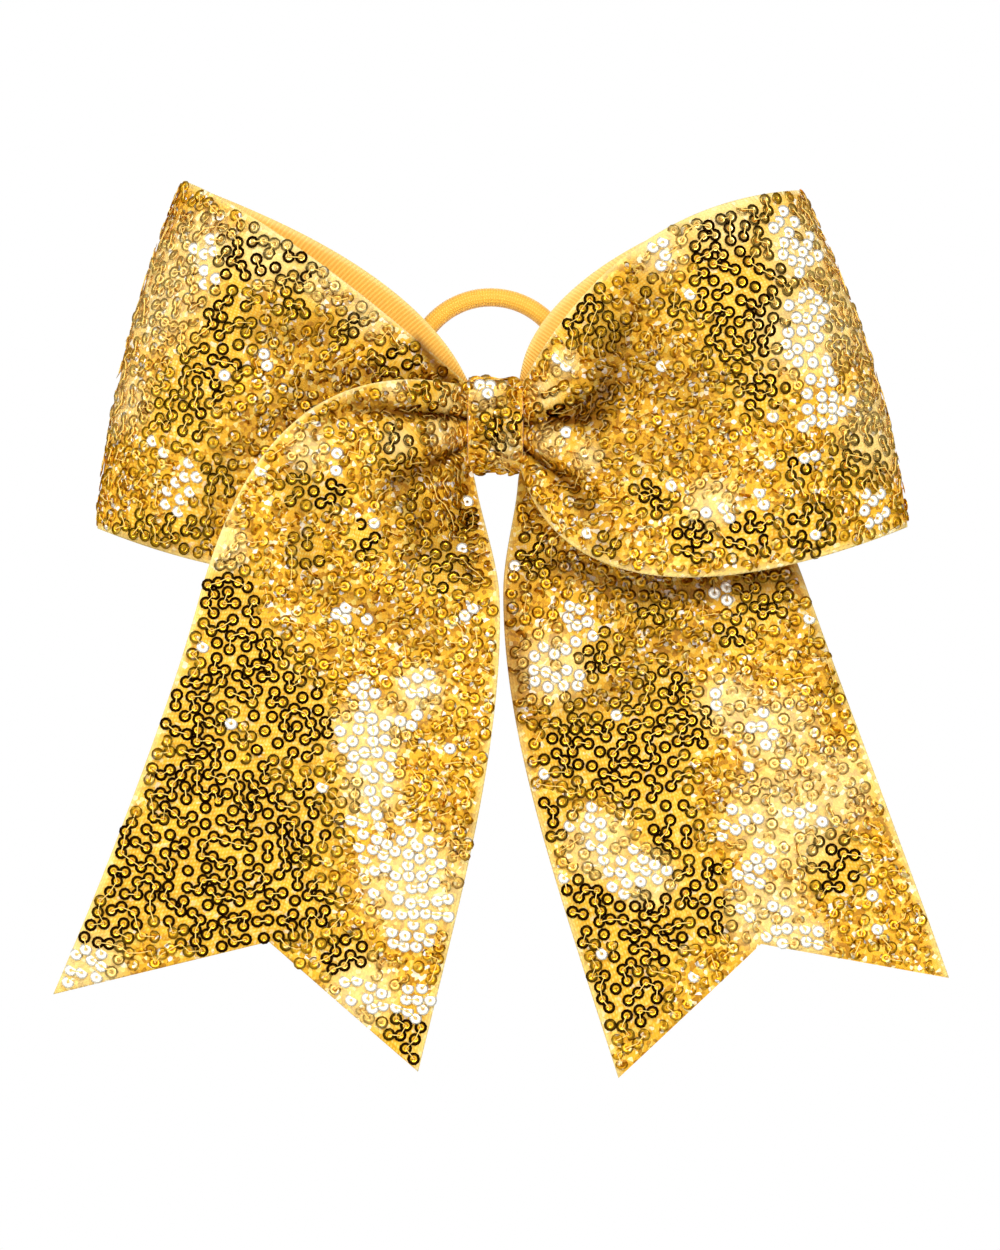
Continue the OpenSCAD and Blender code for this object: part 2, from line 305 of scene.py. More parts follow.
grain.links.new(grain_cells.outputs["Color"], grain_value.inputs[0])
grain.links.new(grain_value.outputs["X"], grain_ramp.inputs[0])
flaked_colour = mixed(
    grain.nodes, grain.links, grain_in.outputs["Amount"], grain_in.outputs["Colour"], grain_ramp.outputs[0]
)
grain.links.new(flaked_colour, grain_out.inputs["Colour"])
print("grain flakes per metre:", FLAKES_PER_M)

# %% [markdown]
# ## Materials
# The net is a fine knit: pale dots of yarn over a deeper gold, with a paler selvedge at the ribbon's
# edges. The grosgrain lining has ribs that run across the ribbon. Sequins are gold foil, so they are
# metallic with low roughness. What changes from place to place is stored on the mesh as attributes:
# the dark ring round a sequin, a painted reflection of its dark surroundings; the painted white
# highlight of one that faces the light; the painted shade in a crease; and the painted light where
# the cloth lies towards the light.


# %% Material helpers
def new_material(name, roughness, sheen=0.0):
    """A material with a Principled BSDF, and its nodes, links and shader."""
    material = bpy.data.materials.new(name)
    material.use_nodes = True
    nodes = material.node_tree.nodes
    shader = nodes["Principled BSDF"]
    shader.inputs["Roughness"].default_value = roughness
    shader.inputs["Sheen Weight"].default_value = sheen
    return material, nodes, material.node_tree.links, shader


def drifted(nodes, links, colour, scale, amount):
    """The colour, varied by the drift group. Returns the output socket."""
    group = nodes.new("ShaderNodeGroup")
    group.node_tree = drift
    group.inputs["Scale"].default_value = scale
    group.inputs["Amount"].default_value = amount
    if isinstance(colour, tuple):
        group.inputs["Colour"].default_value = colour
    else:
        links.new(colour, group.inputs["Colour"])
    return group.outputs["Colour"]


def add_painted_flakes(nodes, links, colour, amount):
    """The colour, broken into small flakes of painted reflection where the amount says. Returns the output
    socket.
    """
    group = nodes.new("ShaderNodeGroup")
    group.node_tree = grain
    links.new(colour, group.inputs["Colour"])
    links.new(amount, group.inputs["Amount"])
    return group.outputs["Colour"]


def woven(nodes, along, across):
    """The weave group with those pitches."""
    group = nodes.new("ShaderNodeGroup")
    group.node_tree = weave
    group.inputs["Along pitch"].default_value = along
    group.inputs["Across pitch"].default_value = across
    return group


def bumped(nodes, links, shader, height, strength, distance):
    """Feeds a height into the shader's normal."""
    bump = nodes.new("ShaderNodeBump")
    bump.inputs["Strength"].default_value = strength
    bump.inputs["Distance"].default_value = distance
    links.new(height, bump.inputs["Height"])
    links.new(bump.outputs[0], shader.inputs["Normal"])


def attribute(nodes, name):
    """A value stored on the mesh, as a socket."""
    node = nodes.new("ShaderNodeAttribute")
    node.attribute_name = name
    return node.outputs["Fac"]


# %% Net, grosgrain and elastic
def make_net():
    """Fine gold knit with pale dots and a pale selvedge, with painted flakes of reflection, painted light and
    painted shade.
    """
    material, nodes, links, shader = new_material("sequin_net", 0.55)
    shader.inputs["Specular IOR Level"].default_value = 0.15
    knit = woven(nodes, along=0.85, across=0.75)
    dotted = mixed(nodes, links, knit.outputs["Dots"], NET_GOLD, NET_DOT)
    # Painted reflection: flakes of brown and pale where the sequins lean every way.
    flaked = add_painted_flakes(nodes, links, dotted, attribute(nodes, "lively"))
    edged = mixed(nodes, links, attribute(nodes, "selvedge"), flaked, SELVEDGE_GOLD)
    # Painted light where the cloth lies towards the light.
    edged = mixed(nodes, links, attribute(nodes, "sunlit"), edged, SUNLIT_PALE)
    # Painted shade in the creases.
    shaded = mixed(nodes, links, attribute(nodes, "shade"), edged, SHADE_BROWN)
    links.new(drifted(nodes, links, shaded, scale=90, amount=0.10), shader.inputs["Base Color"])
    bumped(nodes, links, shader, knit.outputs["Dots"], strength=0.5, distance=0.2 * MM)
    return material


def make_grosgrain():
    """Ribbed satin ribbon, the lining."""
    material, nodes, links, shader = new_material("grosgrain", 0.5, sheen=0.3)
    ribs = woven(nodes, along=0.9, across=0.4)
    shaded = mixed(nodes, links, ribs.outputs["Ribs"], GROSGRAIN_GROOVE, GROSGRAIN_GOLD)
    edged = mixed(nodes, links, attribute(nodes, "selvedge"), shaded, SELVEDGE_GOLD)
    # Painted shade in the creases.
    edged = mixed(nodes, links, attribute(nodes, "shade"), edged, SHADE_BROWN)
    links.new(drifted(nodes, links, edged, scale=70, amount=0.06), shader.inputs["Base Color"])
    bumped(nodes, links, shader, ribs.outputs["Ribs"], strength=0.6, distance=0.25 * MM)
    return material


def make_elastic():
    """Tubular knit over rubber, with ribs that run round the cord."""
    material, nodes, links, shader = new_material("elastic_knit", 0.6, sheen=0.4)
    ribs = woven(nodes, along=0.55, across=0.7)
    shaded = mixed(nodes, links, ribs.outputs["Dots"], ELASTIC_GROOVE, ELASTIC_GOLD)
    links.new(drifted(nodes, links, shaded, scale=120, amount=0.06), shader.inputs["Base Color"])
    bumped(nodes, links, shader, ribs.outputs["Dots"], strength=0.5, distance=0.2 * MM)
    return material


net = make_net()
grosgrain = make_grosgrain()
elastic_knit = make_elastic()
print("cloth materials:", net.name, grosgrain.name, elastic_knit.name)


# %% Foil, thread, rubber and glue
# Where the painted dark ring, a reflection of dark surroundings, starts and ends across a sequin.
RING_START = 0.46
RING_END = 0.56
FOIL_ROUGHNESS = 0.25
LIVELY_ROUGHNESS = 0.2
# How much less metallic a glinting sequin is, so its painted white highlight shows from every side.
PAINTED_GLINT_MATT = 0.55
FINER_GRAIN = 12


def make_foil():
    """Gold foil with a painted dark ring that stands for reflection; the glint value paints a white highlight
    on the foil and makes it less metallic.
    """
    material, nodes, links, shader = new_material("sequin_foil", FOIL_ROUGHNESS)
    shader.inputs["Specular Tint"].default_value = FOIL_EDGE
    radius = attribute(nodes, "radius")
    ring = nodes.new("ShaderNodeValToRGB")
    ring.color_ramp.elements[0].position = RING_START
    ring.color_ramp.elements[0].color = (0, 0, 0, 1)
    ring.color_ramp.elements[1].position = RING_END
    ring.color_ramp.elements[1].color = (1, 1, 1, 1)
    links.new(radius, ring.inputs[0])
    # The dark ring is a painted reflection.
    ringed = maths(nodes, links, "MULTIPLY", ring.outputs[0], attribute(nodes, "dark"))
    gold = drifted(nodes, links, FOIL_GOLD, scale=300, amount=0.12)
    # Painted flakes of reflection, then painted light, then painted shade in the creases.
    gold = add_painted_flakes(nodes, links, gold, attribute(nodes, "lively"))
    gold = mixed(nodes, links, attribute(nodes, "sunlit"), gold, SUNLIT_PALE)
    shaded = mixed(nodes, links, attribute(nodes, "shade"), gold, SHADE_BROWN)
    ring_reflection_colour = mixed(nodes, links, ringed, shaded, RING_REFLECTION_BROWN)
    duller = maths(nodes, links, "MULTIPLY", attribute(nodes, "lively"), LIVELY_ROUGHNESS)
    links.new(maths(nodes, links, "ADD", duller, FOIL_ROUGHNESS), shader.inputs["Roughness"])
    # The painted white highlight of a sequin that faces the key light.
    glint = attribute(nodes, "glint")
    links.new(mixed(nodes, links, glint, ring_reflection_colour, PAINTED_GLINT_WHITE), shader.inputs["Base Color"])
    glint_matt = maths(nodes, links, "MULTIPLY", glint, PAINTED_GLINT_MATT)
    links.new(maths(nodes, links, "SUBTRACT", 1.0, glint_matt), shader.inputs["Metallic"])
    return material


def make_thread():
    """Fine thread, with painted shade where it lies in a crease."""
    material, nodes, links, shader = new_material("sewing_thread", 0.6)
    pale = drifted(nodes, links, THREAD_PALE, scale=200, amount=0.08)
    # Painted shade in the creases.
    shade = attribute(nodes, "shade")
    links.new(mixed(nodes, links, shade, pale, SHADE_BROWN), shader.inputs["Base Color"])
    place = nodes.new("ShaderNodeTexCoord")
    twist = nodes.new("ShaderNodeTexNoise")
    twist.inputs["Scale"].default_value = 200 * FINER_GRAIN
    links.new(place.outputs["Object"], twist.inputs["Vector"])
    bumped(nodes, links, shader, twist.outputs["Fac"], strength=0.3, distance=0.1 * MM)
    return material


def make_plain(name, colour, roughness, scale, amount):
    """A material whose colour drifts, with a fine grain in its surface."""
    material, nodes, links, shader = new_material(name, roughness)
    links.new(drifted(nodes, links, colour, scale, amount), shader.inputs["Base Color"])
    place = nodes.new("ShaderNodeTexCoord")
    fine_grain = nodes.new("ShaderNodeTexNoise")
    fine_grain.inputs["Scale"].default_value = scale * FINER_GRAIN
    links.new(place.outputs["Object"], fine_grain.inputs["Vector"])
    bumped(nodes, links, shader, fine_grain.outputs["Fac"], strength=0.3, distance=0.1 * MM)
    return material


foil = make_foil()
thread_material = make_thread()
rubber = make_plain("elastic_rubber", paint(226, 200, 150), roughness=0.7, scale=150, amount=0.1)
glue = make_plain("glue", paint(236, 228, 200), roughness=0.35, scale=150, amount=0.08)
print("materials:", [m.name for m in bpy.data.materials])

# %% [markdown]
# ## Curves for the ribbon's edges
# Each stretch of ribbon is a sheet between three curves that run away from the knot: its top or outer
# edge, its middle and its bottom or inner edge. Each curve has four control points, the same as in the
# frame's own outlines, so the cloth lies where the frame's plain solids lie.


# %% Curve functions
RIBBON_WIDTH = 76.2
WAVINESS = 0.7


def cubic(points, t):
    """Places on a four-point curve, one row for each t."""
    p = np.array(points, float)
    t = np.asarray(t, float)[:, None]
    return p[0] * (1 - t) ** 3 + 3 * p[1] * t * (1 - t) ** 2 + 3 * p[2] * t * t * (1 - t) + p[3] * t**3


def through(a, b, c, v):
    """A smooth curve across the ribbon: a at 0, b at a half and c at 1, as rows by columns by 2."""
    v = np.asarray(v, float)[None, :, None]
    return a[:, None] * (1 - v) * (1 - 2 * v) + 4 * b[:, None] * v * (1 - v) + c[:, None] * v * (2 * v - 1)


def ease(k):
    """A ramp from 0 to 1 that starts and ends gently."""
    k = np.clip(k, 0, 1)
    return k * k * (3 - 2 * k)


def blend_values(a, b, k):
    """From a at 0 to b at 1."""
    return a + (b - a) * k


def ripple(x, z, seed):
    """Slow bumps from -1 to 1, the way a ribbon never lies quite flat.

    The wavelengths share no common measure, so the bumps don't line up in rows.
    """
    slow = np.sin(x / 7.1 + seed) * np.cos(z / 9.3 - 1.7 * seed)
    slower = np.sin((x + z) / 15.7 + 2.3 * seed)
    return 0.5 * slow + 0.5 * slower


# %% [markdown]
# ## Folds by the knot
# The ribbon is three inches wide and its waist is pinched to less than one, so it runs into the knot
# in deep folds. A fold is a valley that follows the ribbon and fades as it leaves the knot. Each is
# given by where it lies across the ribbon, how wide it is and how deep. Cloth simulation could make
# such folds too, but not where they are wanted.


# %% Folds
FOLD_LEAD = 0.06
FOLD_RISE = 0.2
FOLD_REACH = 0.58
MIDDLE_STANDS = 0.55


def fold_profile(out, v, valleys):
    """How far forward the cloth stands, by rows and columns: 1 on a crest and 0 in a valley.

    A valley lies at its first place across the ribbon by the knot and drifts to its second as it fades.
    """
    arch = (1 - MIDDLE_STANDS) + MIDDLE_STANDS * np.sin(np.pi * np.clip(v, 0, 1))
    height = np.ones((len(out), 1)) * arch[None, :]
    for start, end, width, depth in valleys:
        centre = blend_values(start, end, np.clip(out / FOLD_REACH, 0, 1))[:, None]
        height = height - depth * np.exp(-(((v[None, :] - centre) / width) ** 2))
    return height


def fold_strength(out):
    """The folds rise just outside the knot and fade at their reach."""
    return ease((out + FOLD_LEAD) / FOLD_RISE) * (1 - ease(out / FOLD_REACH))


# Each valley: its place across by the knot and at the end, from 0 to 1, then its width and its depth.
LEFT_LOOP_VALLEYS = [(0.50, 0.50, 0.08, 1.0), (0.22, 0.22, 0.06, 0.5)]
RIGHT_LOOP_VALLEYS = [(0.50, 0.32, 0.09, 1.0), (0.80, 0.83, 0.05, 0.8), (0.27, 0.20, 0.05, 0.3)]
LOBE_VALLEYS = [(0.42, -0.05, 0.06, 1.0), (0.76, 0.45, 0.06, 0.8)]
LEFT_LOOP_FOLD = 2.4
RIGHT_LOOP_FOLD = 6.0
LOBE_FOLD = 5.0
print("folds, mm deep:", LEFT_LOOP_FOLD, RIGHT_LOOP_FOLD, LOBE_FOLD)

# %% Loop outlines, seen from the front as x and z in millimetres
ROOT_X = 5.4
LEFT_FOLD = [(-66.6, 52.3), (-78.8, 15.7), (-85.0, -22.2)]
RIGHT_FOLD = [(65.0, 50.2), (80.0, 14.4), (88.1, -21.9)]
LEFT_FRONT = [
    [(-ROOT_X, 8), (-17, 19), (-42, 38), LEFT_FOLD[0]],
    [(-ROOT_X, 0), (-28, 2), (-52, 9), LEFT_FOLD[1]],
    [(-ROOT_X, -8), (-11, -34), (-40, -40), LEFT_FOLD[2]],
]
LEFT_BACK_TOP = [(-ROOT_X, 8), (-11, 24), (-36, 43.5), LEFT_FOLD[0]]
RIGHT_FRONT = [
    [(ROOT_X, 7.5), (12.5, 22), (30, 47), RIGHT_FOLD[0]],
    [(ROOT_X, 0), (28, 2), (52, 9), RIGHT_FOLD[1]],
    [(ROOT_X, -8), (11, -34), (40, -41), RIGHT_FOLD[2]],
]
RIGHT_BACK_TOP = [(ROOT_X, 8.5), (4.5, 24), (28, 44.5), RIGHT_FOLD[0]]
PLANE_Y = -10.0
PLANE_LEAN = 26.0
LOOP_DEPTH = 24.0
LEFT_ROOT_GAP = 1.2
RIGHT_ROOT_GAP = 2.0
BACK_FOLD = 1.2
LOOP_ROWS = 110
COLUMNS = 49


def loop_surface(front, back_top, root_gap, valleys, fold_depth, seed):
    """A loop's middle surface, out along the front ply and home along the back one."""
    s = np.linspace(0, 1, LOOP_ROWS)
    v = np.linspace(0, 1, COLUMNS)
    out = np.sin(np.pi * s)
    home = ((1 - np.cos(np.pi * s)) / 2)[:, None]
    top = blend_values(cubic(front[0], out), cubic(back_top, out), home)
    seen = through(top, cubic(front[1], out), cubic(front[2], out), v)
    side = np.cos(np.pi * s)
    plane = PLANE_Y - PLANE_LEAN * out * (1 - out)
    half_depth = side * blend_values(root_gap, LOOP_DEPTH, ease(out))
    strength = fold_strength(out) * np.clip(side * 3, -1, 1) * np.where(side > 0, fold_depth, BACK_FOLD)
    folds = strength[:, None] * fold_profile(out, v, valleys)
    bumps = WAVINESS * ease(out * 2)[:, None] * ripple(seen[..., 0], seen[..., 1], seed)
    y = (plane - half_depth)[:, None] - folds + bumps
    return np.stack([seen[..., 0], y, seen[..., 1]], axis=-1)


left_loop_surface = loop_surface(
    LEFT_FRONT, LEFT_BACK_TOP, LEFT_ROOT_GAP, LEFT_LOOP_VALLEYS, LEFT_LOOP_FOLD, 1.0
)
right_loop_surface = loop_surface(
    RIGHT_FRONT, RIGHT_BACK_TOP, RIGHT_ROOT_GAP, RIGHT_LOOP_VALLEYS, RIGHT_LOOP_FOLD, 2.0
)
print("loop grids:", left_loop_surface.shape, right_loop_surface.shape)

# %% [markdown]
# ## The tails
# A tail is one ribbon with its lobe: it leaves the knot, rolls over or behind a loop and hangs. The
# frame cuts it at the line where it hangs, because a rigid model needs a hinge there. The cloth is one
# piece across that line. Its end is a V notch: the middle column stops short and the columns beside
# it run to the tips.

# %% Tail outlines, in millimetres
HANG_Z = -37.0
LEFT_LOBE = [
    [(-ROOT_X, 8), (-38, 15), (-54.5, -6), (-62.9, HANG_Z)],
    [(-ROOT_X, 0), (-22, -3), (-30, -18), (-31, HANG_Z)],
    [(-ROOT_X, -8.5), (-3.4, -19), (0.5, -29), (0.9, HANG_Z)],
]
LEFT_TAIL = [
    [(-62.9, HANG_Z), (-69, -60), (-81, -91), (-94.2, -121.6)],
    [(-31, HANG_Z), (-34, -60), (-41, -87), (-48.2, -110.2)],
    [(0.9, HANG_Z), (2, -68), (-8, -103), (-16.5, -138.1)],
]
RIGHT_LOBE = [
    [(ROOT_X, 8), (38, 14), (56, -4), (67.2, HANG_Z)],
    [(ROOT_X, 0), (22, -3), (32, -18), (34.5, HANG_Z)],
    [(ROOT_X, -8.5), (5.0, -18), (1.4, -28), (1.7, HANG_Z)],
]
RIGHT_TAIL = [
    [(67.2, HANG_Z), (76, -62), (87, -90), (97, -118.4)],
    [(34.5, HANG_Z), (38, -60), (47, -87), (56.7, -111)],
    [(1.7, HANG_Z), (1.7, -66), (13, -98), (26.4, -139.8)],
]
LOBE_ROOT_X = 6.5
LOBE_RISE_X = 14.0
LOBE_FALL_Z = -10.0
TAIL_CURL = 3.0
LOBE_ROWS = 46
TAIL_ROWS = 60


def tail_surface(lobe, tail, root_y, rise, hang_y, drift_y, seed):
    """A lobe and its tail as one middle surface."""
    v = np.linspace(0, 1, COLUMNS)
    u = np.linspace(0, 1, LOBE_ROWS)
    over = through(*(cubic(edge, u) for edge in lobe), v)
    away = np.maximum(0, np.abs(over[..., 0]) - LOBE_ROOT_X)
    over_loop = root_y - rise * (1 - np.exp(-away / LOBE_RISE_X))
    down = ease((LOBE_FALL_Z - over[..., 1]) / (LOBE_FALL_Z - HANG_Z))
    folds = LOBE_FOLD * fold_strength(u)[:, None] * (fold_profile(u, v, LOBE_VALLEYS) - 0.6)
    lobe_y = blend_values(over_loop, hang_y, down) - folds
    lobe_y = lobe_y + WAVINESS * ease(u * 2)[:, None] * ripple(over[..., 0], over[..., 1], seed)
    w = np.linspace(0, 1, TAIL_ROWS)[1:]
    edges = [cubic(edge, w)[:, None] for edge in tail]
    k = v[None, :, None]
    seen = np.where(
        k < 0.5,
        blend_values(edges[0], edges[1], 2 * k),
        blend_values(edges[1], edges[2], 2 * k - 1),
    )
    curl = TAIL_CURL * ease(2 * w)[:, None] * (1 - (2 * v - 1) ** 2)[None, :]
    tail_y = hang_y + drift_y * (w * w)[:, None] - curl
    tail_y = tail_y + WAVINESS * ripple(seen[..., 0], seen[..., 1], seed)
    lobe_part = np.stack([over[..., 0], lobe_y, over[..., 1]], axis=-1)
    tail_part = np.stack([seen[..., 0], tail_y, seen[..., 1]], axis=-1)
    return np.concatenate([lobe_part, tail_part])


left_tail_surface = tail_surface(
    LEFT_LOBE, LEFT_TAIL, root_y=-13.3, rise=21, hang_y=-30, drift_y=6, seed=3.0
)
right_tail_surface = tail_surface(
    RIGHT_LOBE, RIGHT_TAIL, root_y=-9.9, rise=9.5, hang_y=-20, drift_y=3, seed=4.0
)
print("tail grids:", left_tail_surface.shape, right_tail_surface.shape)

# %% [markdown]
# ## The knot's wrap
# A short band of the same cloth goes round the waist. Its cross-section is a rounded rectangle, drawn
# here as a superellipse, and it is pinched a little at the middle of its width as a tight band is.

# %% Wrap surface
WRAP_ROWS = 97
WRAP_COLUMNS = 21
WRAP_SQUARENESS = 3.6
WRAP_INSET_Y = 0.75
WRAP_INSET_Z = 0.55
WRAP_PINCH = 0.035
WRAP_CREASE = 0.45
WRAP_CREASES = 2.5
WRAP_CREASE_START = 1.3
WRAP_CREASE_DRIFT = 0.6


def wrap_surface():
    """The band's middle surface: rows go round the waist, columns run across the band."""
    low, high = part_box("knot_facing")
    half_w = (high[0] - low[0]) / 2 / MM
    centre_y = (high[1] + low[1]) / 2 / MM
    half_depth = (high[1] - low[1]) / 2 / MM - WRAP_INSET_Y
    half_height = (high[2] - low[2]) / 2 / MM - WRAP_INSET_Z
    turn = np.linspace(0, 2 * np.pi, WRAP_ROWS)[:, None]
    across = np.linspace(-1, 1, WRAP_COLUMNS)[None, :]
    power = 2 / WRAP_SQUARENESS
    pinch = 1 - WRAP_PINCH * np.cos(np.pi * across / 2)
    drift_across = WRAP_CREASE_START + WRAP_CREASE_DRIFT * np.sin(turn)
    wave = np.sin(WRAP_CREASES * np.pi * across + drift_across)
    crease = WRAP_CREASE * wave * np.maximum(0, -np.cos(turn))
    y = centre_y + half_depth * np.sign(np.cos(turn)) * np.abs(np.cos(turn)) ** power + crease
    z = half_height * pinch * np.sign(np.sin(turn)) * np.abs(np.sin(turn)) ** power
    x = half_w * across + 0 * turn
    return np.stack([x, y, z], axis=-1)


knot_surface = wrap_surface()
print("wrap grid:", knot_surface.shape)

# %% [markdown]
# ## Creases and patches by place
# On the real bow the tone changes from place to place. Cloth in a crease is deeper, cloth that lies
# towards the light is paler, and in some patches the sequins lie flat and show their dark rings while
# in others they lean every way. Lights and folds give part of that. The rest is painted: painted shade
# in the creases, painted light where the cloth faces the light, and dark rings that are painted
# reflections. It is listed here by ribbon and stored on the mesh, so it stays on the cloth from every
# side and in every pose.

# %% Painted shade in creases, by ribbon: start and end as x and z, start and end width in millimetres, strength
CREASES = {
    "left_loop": [
        ((-37, 10), (-48, 2), 3.5, 5, 0.45), ((-48, 2), (-58, -10), 5, 4.5, 0.4),
        ((-58, -10), (-62, -24), 4, 3, 0.35), ((-38, 19), (-50, 20), 4, 4, 0.5),
        ((-14, 10), (-34, 11), 1.5, 3, 0.4), ((-17, 18), (-10, 9), 0.9, 1.8, 1.0),
        ((-63, -27), (-82, -25), 1.5, 1.5, 0.5),
    ],
    "right_loop": [
        ((6, 0), (17, 0.5), 0.7, 1.3, 1.2), ((10, 0.5), (22, 1.5), 0.9, 3.4, 0.9),
        ((21, 2), (24, 8), 4, 4.5, 0.9), ((24, 9), (26, 18), 4.5, 4.5, 0.7), ((26, 18), (32, 27), 4, 5, 0.45),
        ((28, 14), (40, 6), 7, 8, 0.4), ((7, -5.5), (15, -12), 0.7, 1.3, 1.2),
        ((14, -11), (20, -18), 1.8, 2.2, 0.85), ((20, -19), (23, -26), 2.4, 3, 0.4),
        ((26, -6), (40, -6), 4, 4, 0.3),
    ],
    "left_tail": [
        ((-6, 1.3), (-22, 2.2), 0.6, 1.0, 1.2), ((-18, 2.5), (-30, 4), 1.3, 2.0, 0.75),
        ((-28, 4), (-38, 0), 2.4, 2.5, 0.35), ((-6, -4.5), (-14, -8.6), 0.7, 1.2, 1.2),
        ((-13, -8.5), (-21, -13), 1.4, 2.4, 0.85), ((-21, -14), (-14, -27), 3, 5, 0.5),
        ((-8, -10), (-7, -30), 2, 3.5, 0.5), ((-43, -10), (-40, -30), 2, 2.5, 0.35),
        ((-38, -34), (-14, -45), 3, 3, 0.35),
    ],
    "right_tail": [
        ((12, -30), (32, -36), 2.5, 3.5, 0.75), ((32, -36), (66, -33), 3.5, 3, 0.75),
        ((6, -12), (5, -36), 2, 3, 0.4), ((3, -38), (5, -62), 2, 2.5, 0.6),
        ((16, -61), (30, -56), 3, 4, 0.4), ((26, -46), (44, -46), 4, 4, 0.35),
        ((66, -36), (74, -58), 3, 3, 0.3),
    ],
    "knot": [
        ((-5, 3), (5, 6), 0.6, 0.8, 0.4), ((-5, -4), (5, -2), 0.6, 0.8, 0.4), ((-2, -8), (6, -6), 1, 1, 0.3),
    ],
}
BACK_START = -9.0
FACES_FRONT = 0.3
CREASE_SOFTNESS = 1.5


def shade_at(name, place, normal):
    """How much painted shade each place on the front gets, from 0 to 1, by how deep in a crease it is."""
    deep = np.zeros(len(place))
    seen = place[:, [0, 2]]
    for start, end, start_width, end_width, strength in CREASES[name]:
        start, way = np.array(start), np.subtract(end, start)
        along = np.clip((seen - start) @ way / (way @ way), 0, 1)
        width = blend_values(start_width, end_width, along)
        far = np.linalg.norm(seen - start - along[:, None] * way, axis=1) / width
        deep = np.maximum(deep, np.minimum(1, strength * np.exp(-(far**2) / CREASE_SOFTNESS)))
    return deep * (place[:, 1] < BACK_START) * (normal[:, 1] < FACES_FRONT)


print("creases:", {name: len(creases) for name, creases in CREASES.items()})


# %% Patches by ribbon, as x, z and radius in millimetres: flat sequins with painted dark ring reflections, and cloth with painted light
CALM = {
    "left_loop": [
        (-53, 36, 6), (-43, 33, 5), (-56, 22, 6), (-43, 26, 4), (-32, 20, 4), (-22, 13, 5), (-61, 11, 7),
        (-67, 2, 7), (-60, -12, 5), (-65, -22, 5), (-76, -23, 4),
    ],
    "right_loop": [
        (18, 25, 6), (24, 20, 4), (12, 5, 3), (32, 29, 3), (38, 24, 3), (48, 37, 7), (45, 27, 6), (56, 30, 6),
        (52, 19, 8), (56, 7, 6), (58, 43, 5), (33, -15, 4), (24, -26, 3), (42, -25, 4), (54, -23, 5),
        (64, -9, 4), (67, -22, 6), (77, -8, 6),
    ],
    "left_tail": [
        (-57, -38, 7), (-53, -52, 10), (-64, -62, 9), (-45, -64, 10), (-60, -78, 15), (-46, -84, 12),
        (-75, -96, 13), (-56, -100, 16), (-84, -108, 7), (-41, -102, 8), (-18, -131, 6), (-32, -113, 5),
        (-42, -14, 4), (-40, -27, 4), (-28, -25, 4), (-36, -15, 4), (-20, -5, 5), (-13, 4, 5), (-7, -21, 3),
        (-11, -31, 5), (-17, -16, 2),
    ],
    "right_tail": [
        (8, -28, 4), (34, -40, 4), (57, -37, 5), (50, -45, 4), (22, -49, 5), (36, -57, 6), (28, -64, 6),
        (18, -70, 9), (32, -74, 9), (11, -84, 6), (38, -86, 6), (44, -97, 5), (22, -104, 8), (34, -108, 9),
        (28, -122, 8), (45, -105, 5), (73, -94, 6), (43, -65, 4),
    ],
    "knot": [(1, -1, 4)],
}
SUNLIT = {
    "left_loop": [(-76, 30, 14), (-62, 38, 7), (-48, 37, 7), (-36, 32, 6), (-27, 24, 5), (-82, 6, 8)],
    "right_loop": [
        (48, 46, 9), (35, 38, 6), (80, 25, 12), (66, 20, 10), (84, 0, 10), (66, 38, 9), (46, -17, 5),
        (12, -3.5, 3), (20, -7, 3), (11, 7, 3), (15, 13, 3),
    ],
    "left_tail": [
        (-58, -26, 5), (-27, -66, 7), (-26, -78, 6), (-17, -98, 10), (-86, -116, 7), (-28, -121, 7),
        (-16, -57, 5), (-40, -6, 4), (-12, -2, 3), (-21, -4, 3), (-22, 8, 2.5), (-32, 8, 2.5), (-10, 5, 2.5),
    ],
    "right_tail": [
        (12, -52, 7), (50, -60, 6), (60, -66, 8), (62, -84, 11), (72, -78, 8), (22, -90, 7), (32, -97, 6),
        (58, -104, 8), (64, -111, 7),
    ],
    "knot": [(-2, 7, 3.5), (2, -5, 3)],
}
SUNLIT_MOST = 0.47
SUNLIT_REACH = 1.5
CALM_REACH = 1.6
WANDER = 0.18
WANDER_SCALE = 1.6
WANDER_SEED = 5.0
BACK_CALM = 0.5
BACK_WANDER = 3
print("calm patches:", {name: len(patches) for name, patches in CALM.items()})
print("sunlit patches:", {name: len(patches) for name, patches in SUNLIT.items()})


def patch_strength(place, patches, reach):
    """How strongly each place belongs to a list of round patches, from 0 to 1."""
    strength = np.zeros(len(place))
    for x, z, radius in patches:
        far = np.hypot(place[:, 0] - x, place[:, 2] - z) / radius
        strength = np.maximum(strength, np.clip(reach - far, 0, 1))
    return strength


def calm_at(name, place, normal):
    """How flat the sequins lie at each place, from 0 to 1; on the back it wanders by itself."""
    wander = WANDER * ripple(place[:, 0] * WANDER_SCALE, place[:, 2] * WANDER_SCALE, WANDER_SEED)
    front = patch_strength(place, CALM[name], CALM_REACH)
    return np.where(normal[:, 1] < 0, front, BACK_CALM + wander * BACK_WANDER) + wander


def sunlit_at(name, place, normal):
    """How much painted light each place on the front gets, from 0 to 1, where the cloth lies towards the
    light.
    """
    patch = ease(patch_strength(place, SUNLIT[name], SUNLIT_REACH))
    return SUNLIT_MOST * patch * (normal[:, 1] < FACES_FRONT)


# %% [markdown]
# ## From a surface to cloth
# Ribbon and net are thin, so one closed mesh stands for both: the outer skin is the net, the inner
# skin is the grosgrain, and a narrow wall closes the edges. Offsetting the grid along its own normals
# in code keeps the two skins exactly parallel, and makes it easy to give each its own material.


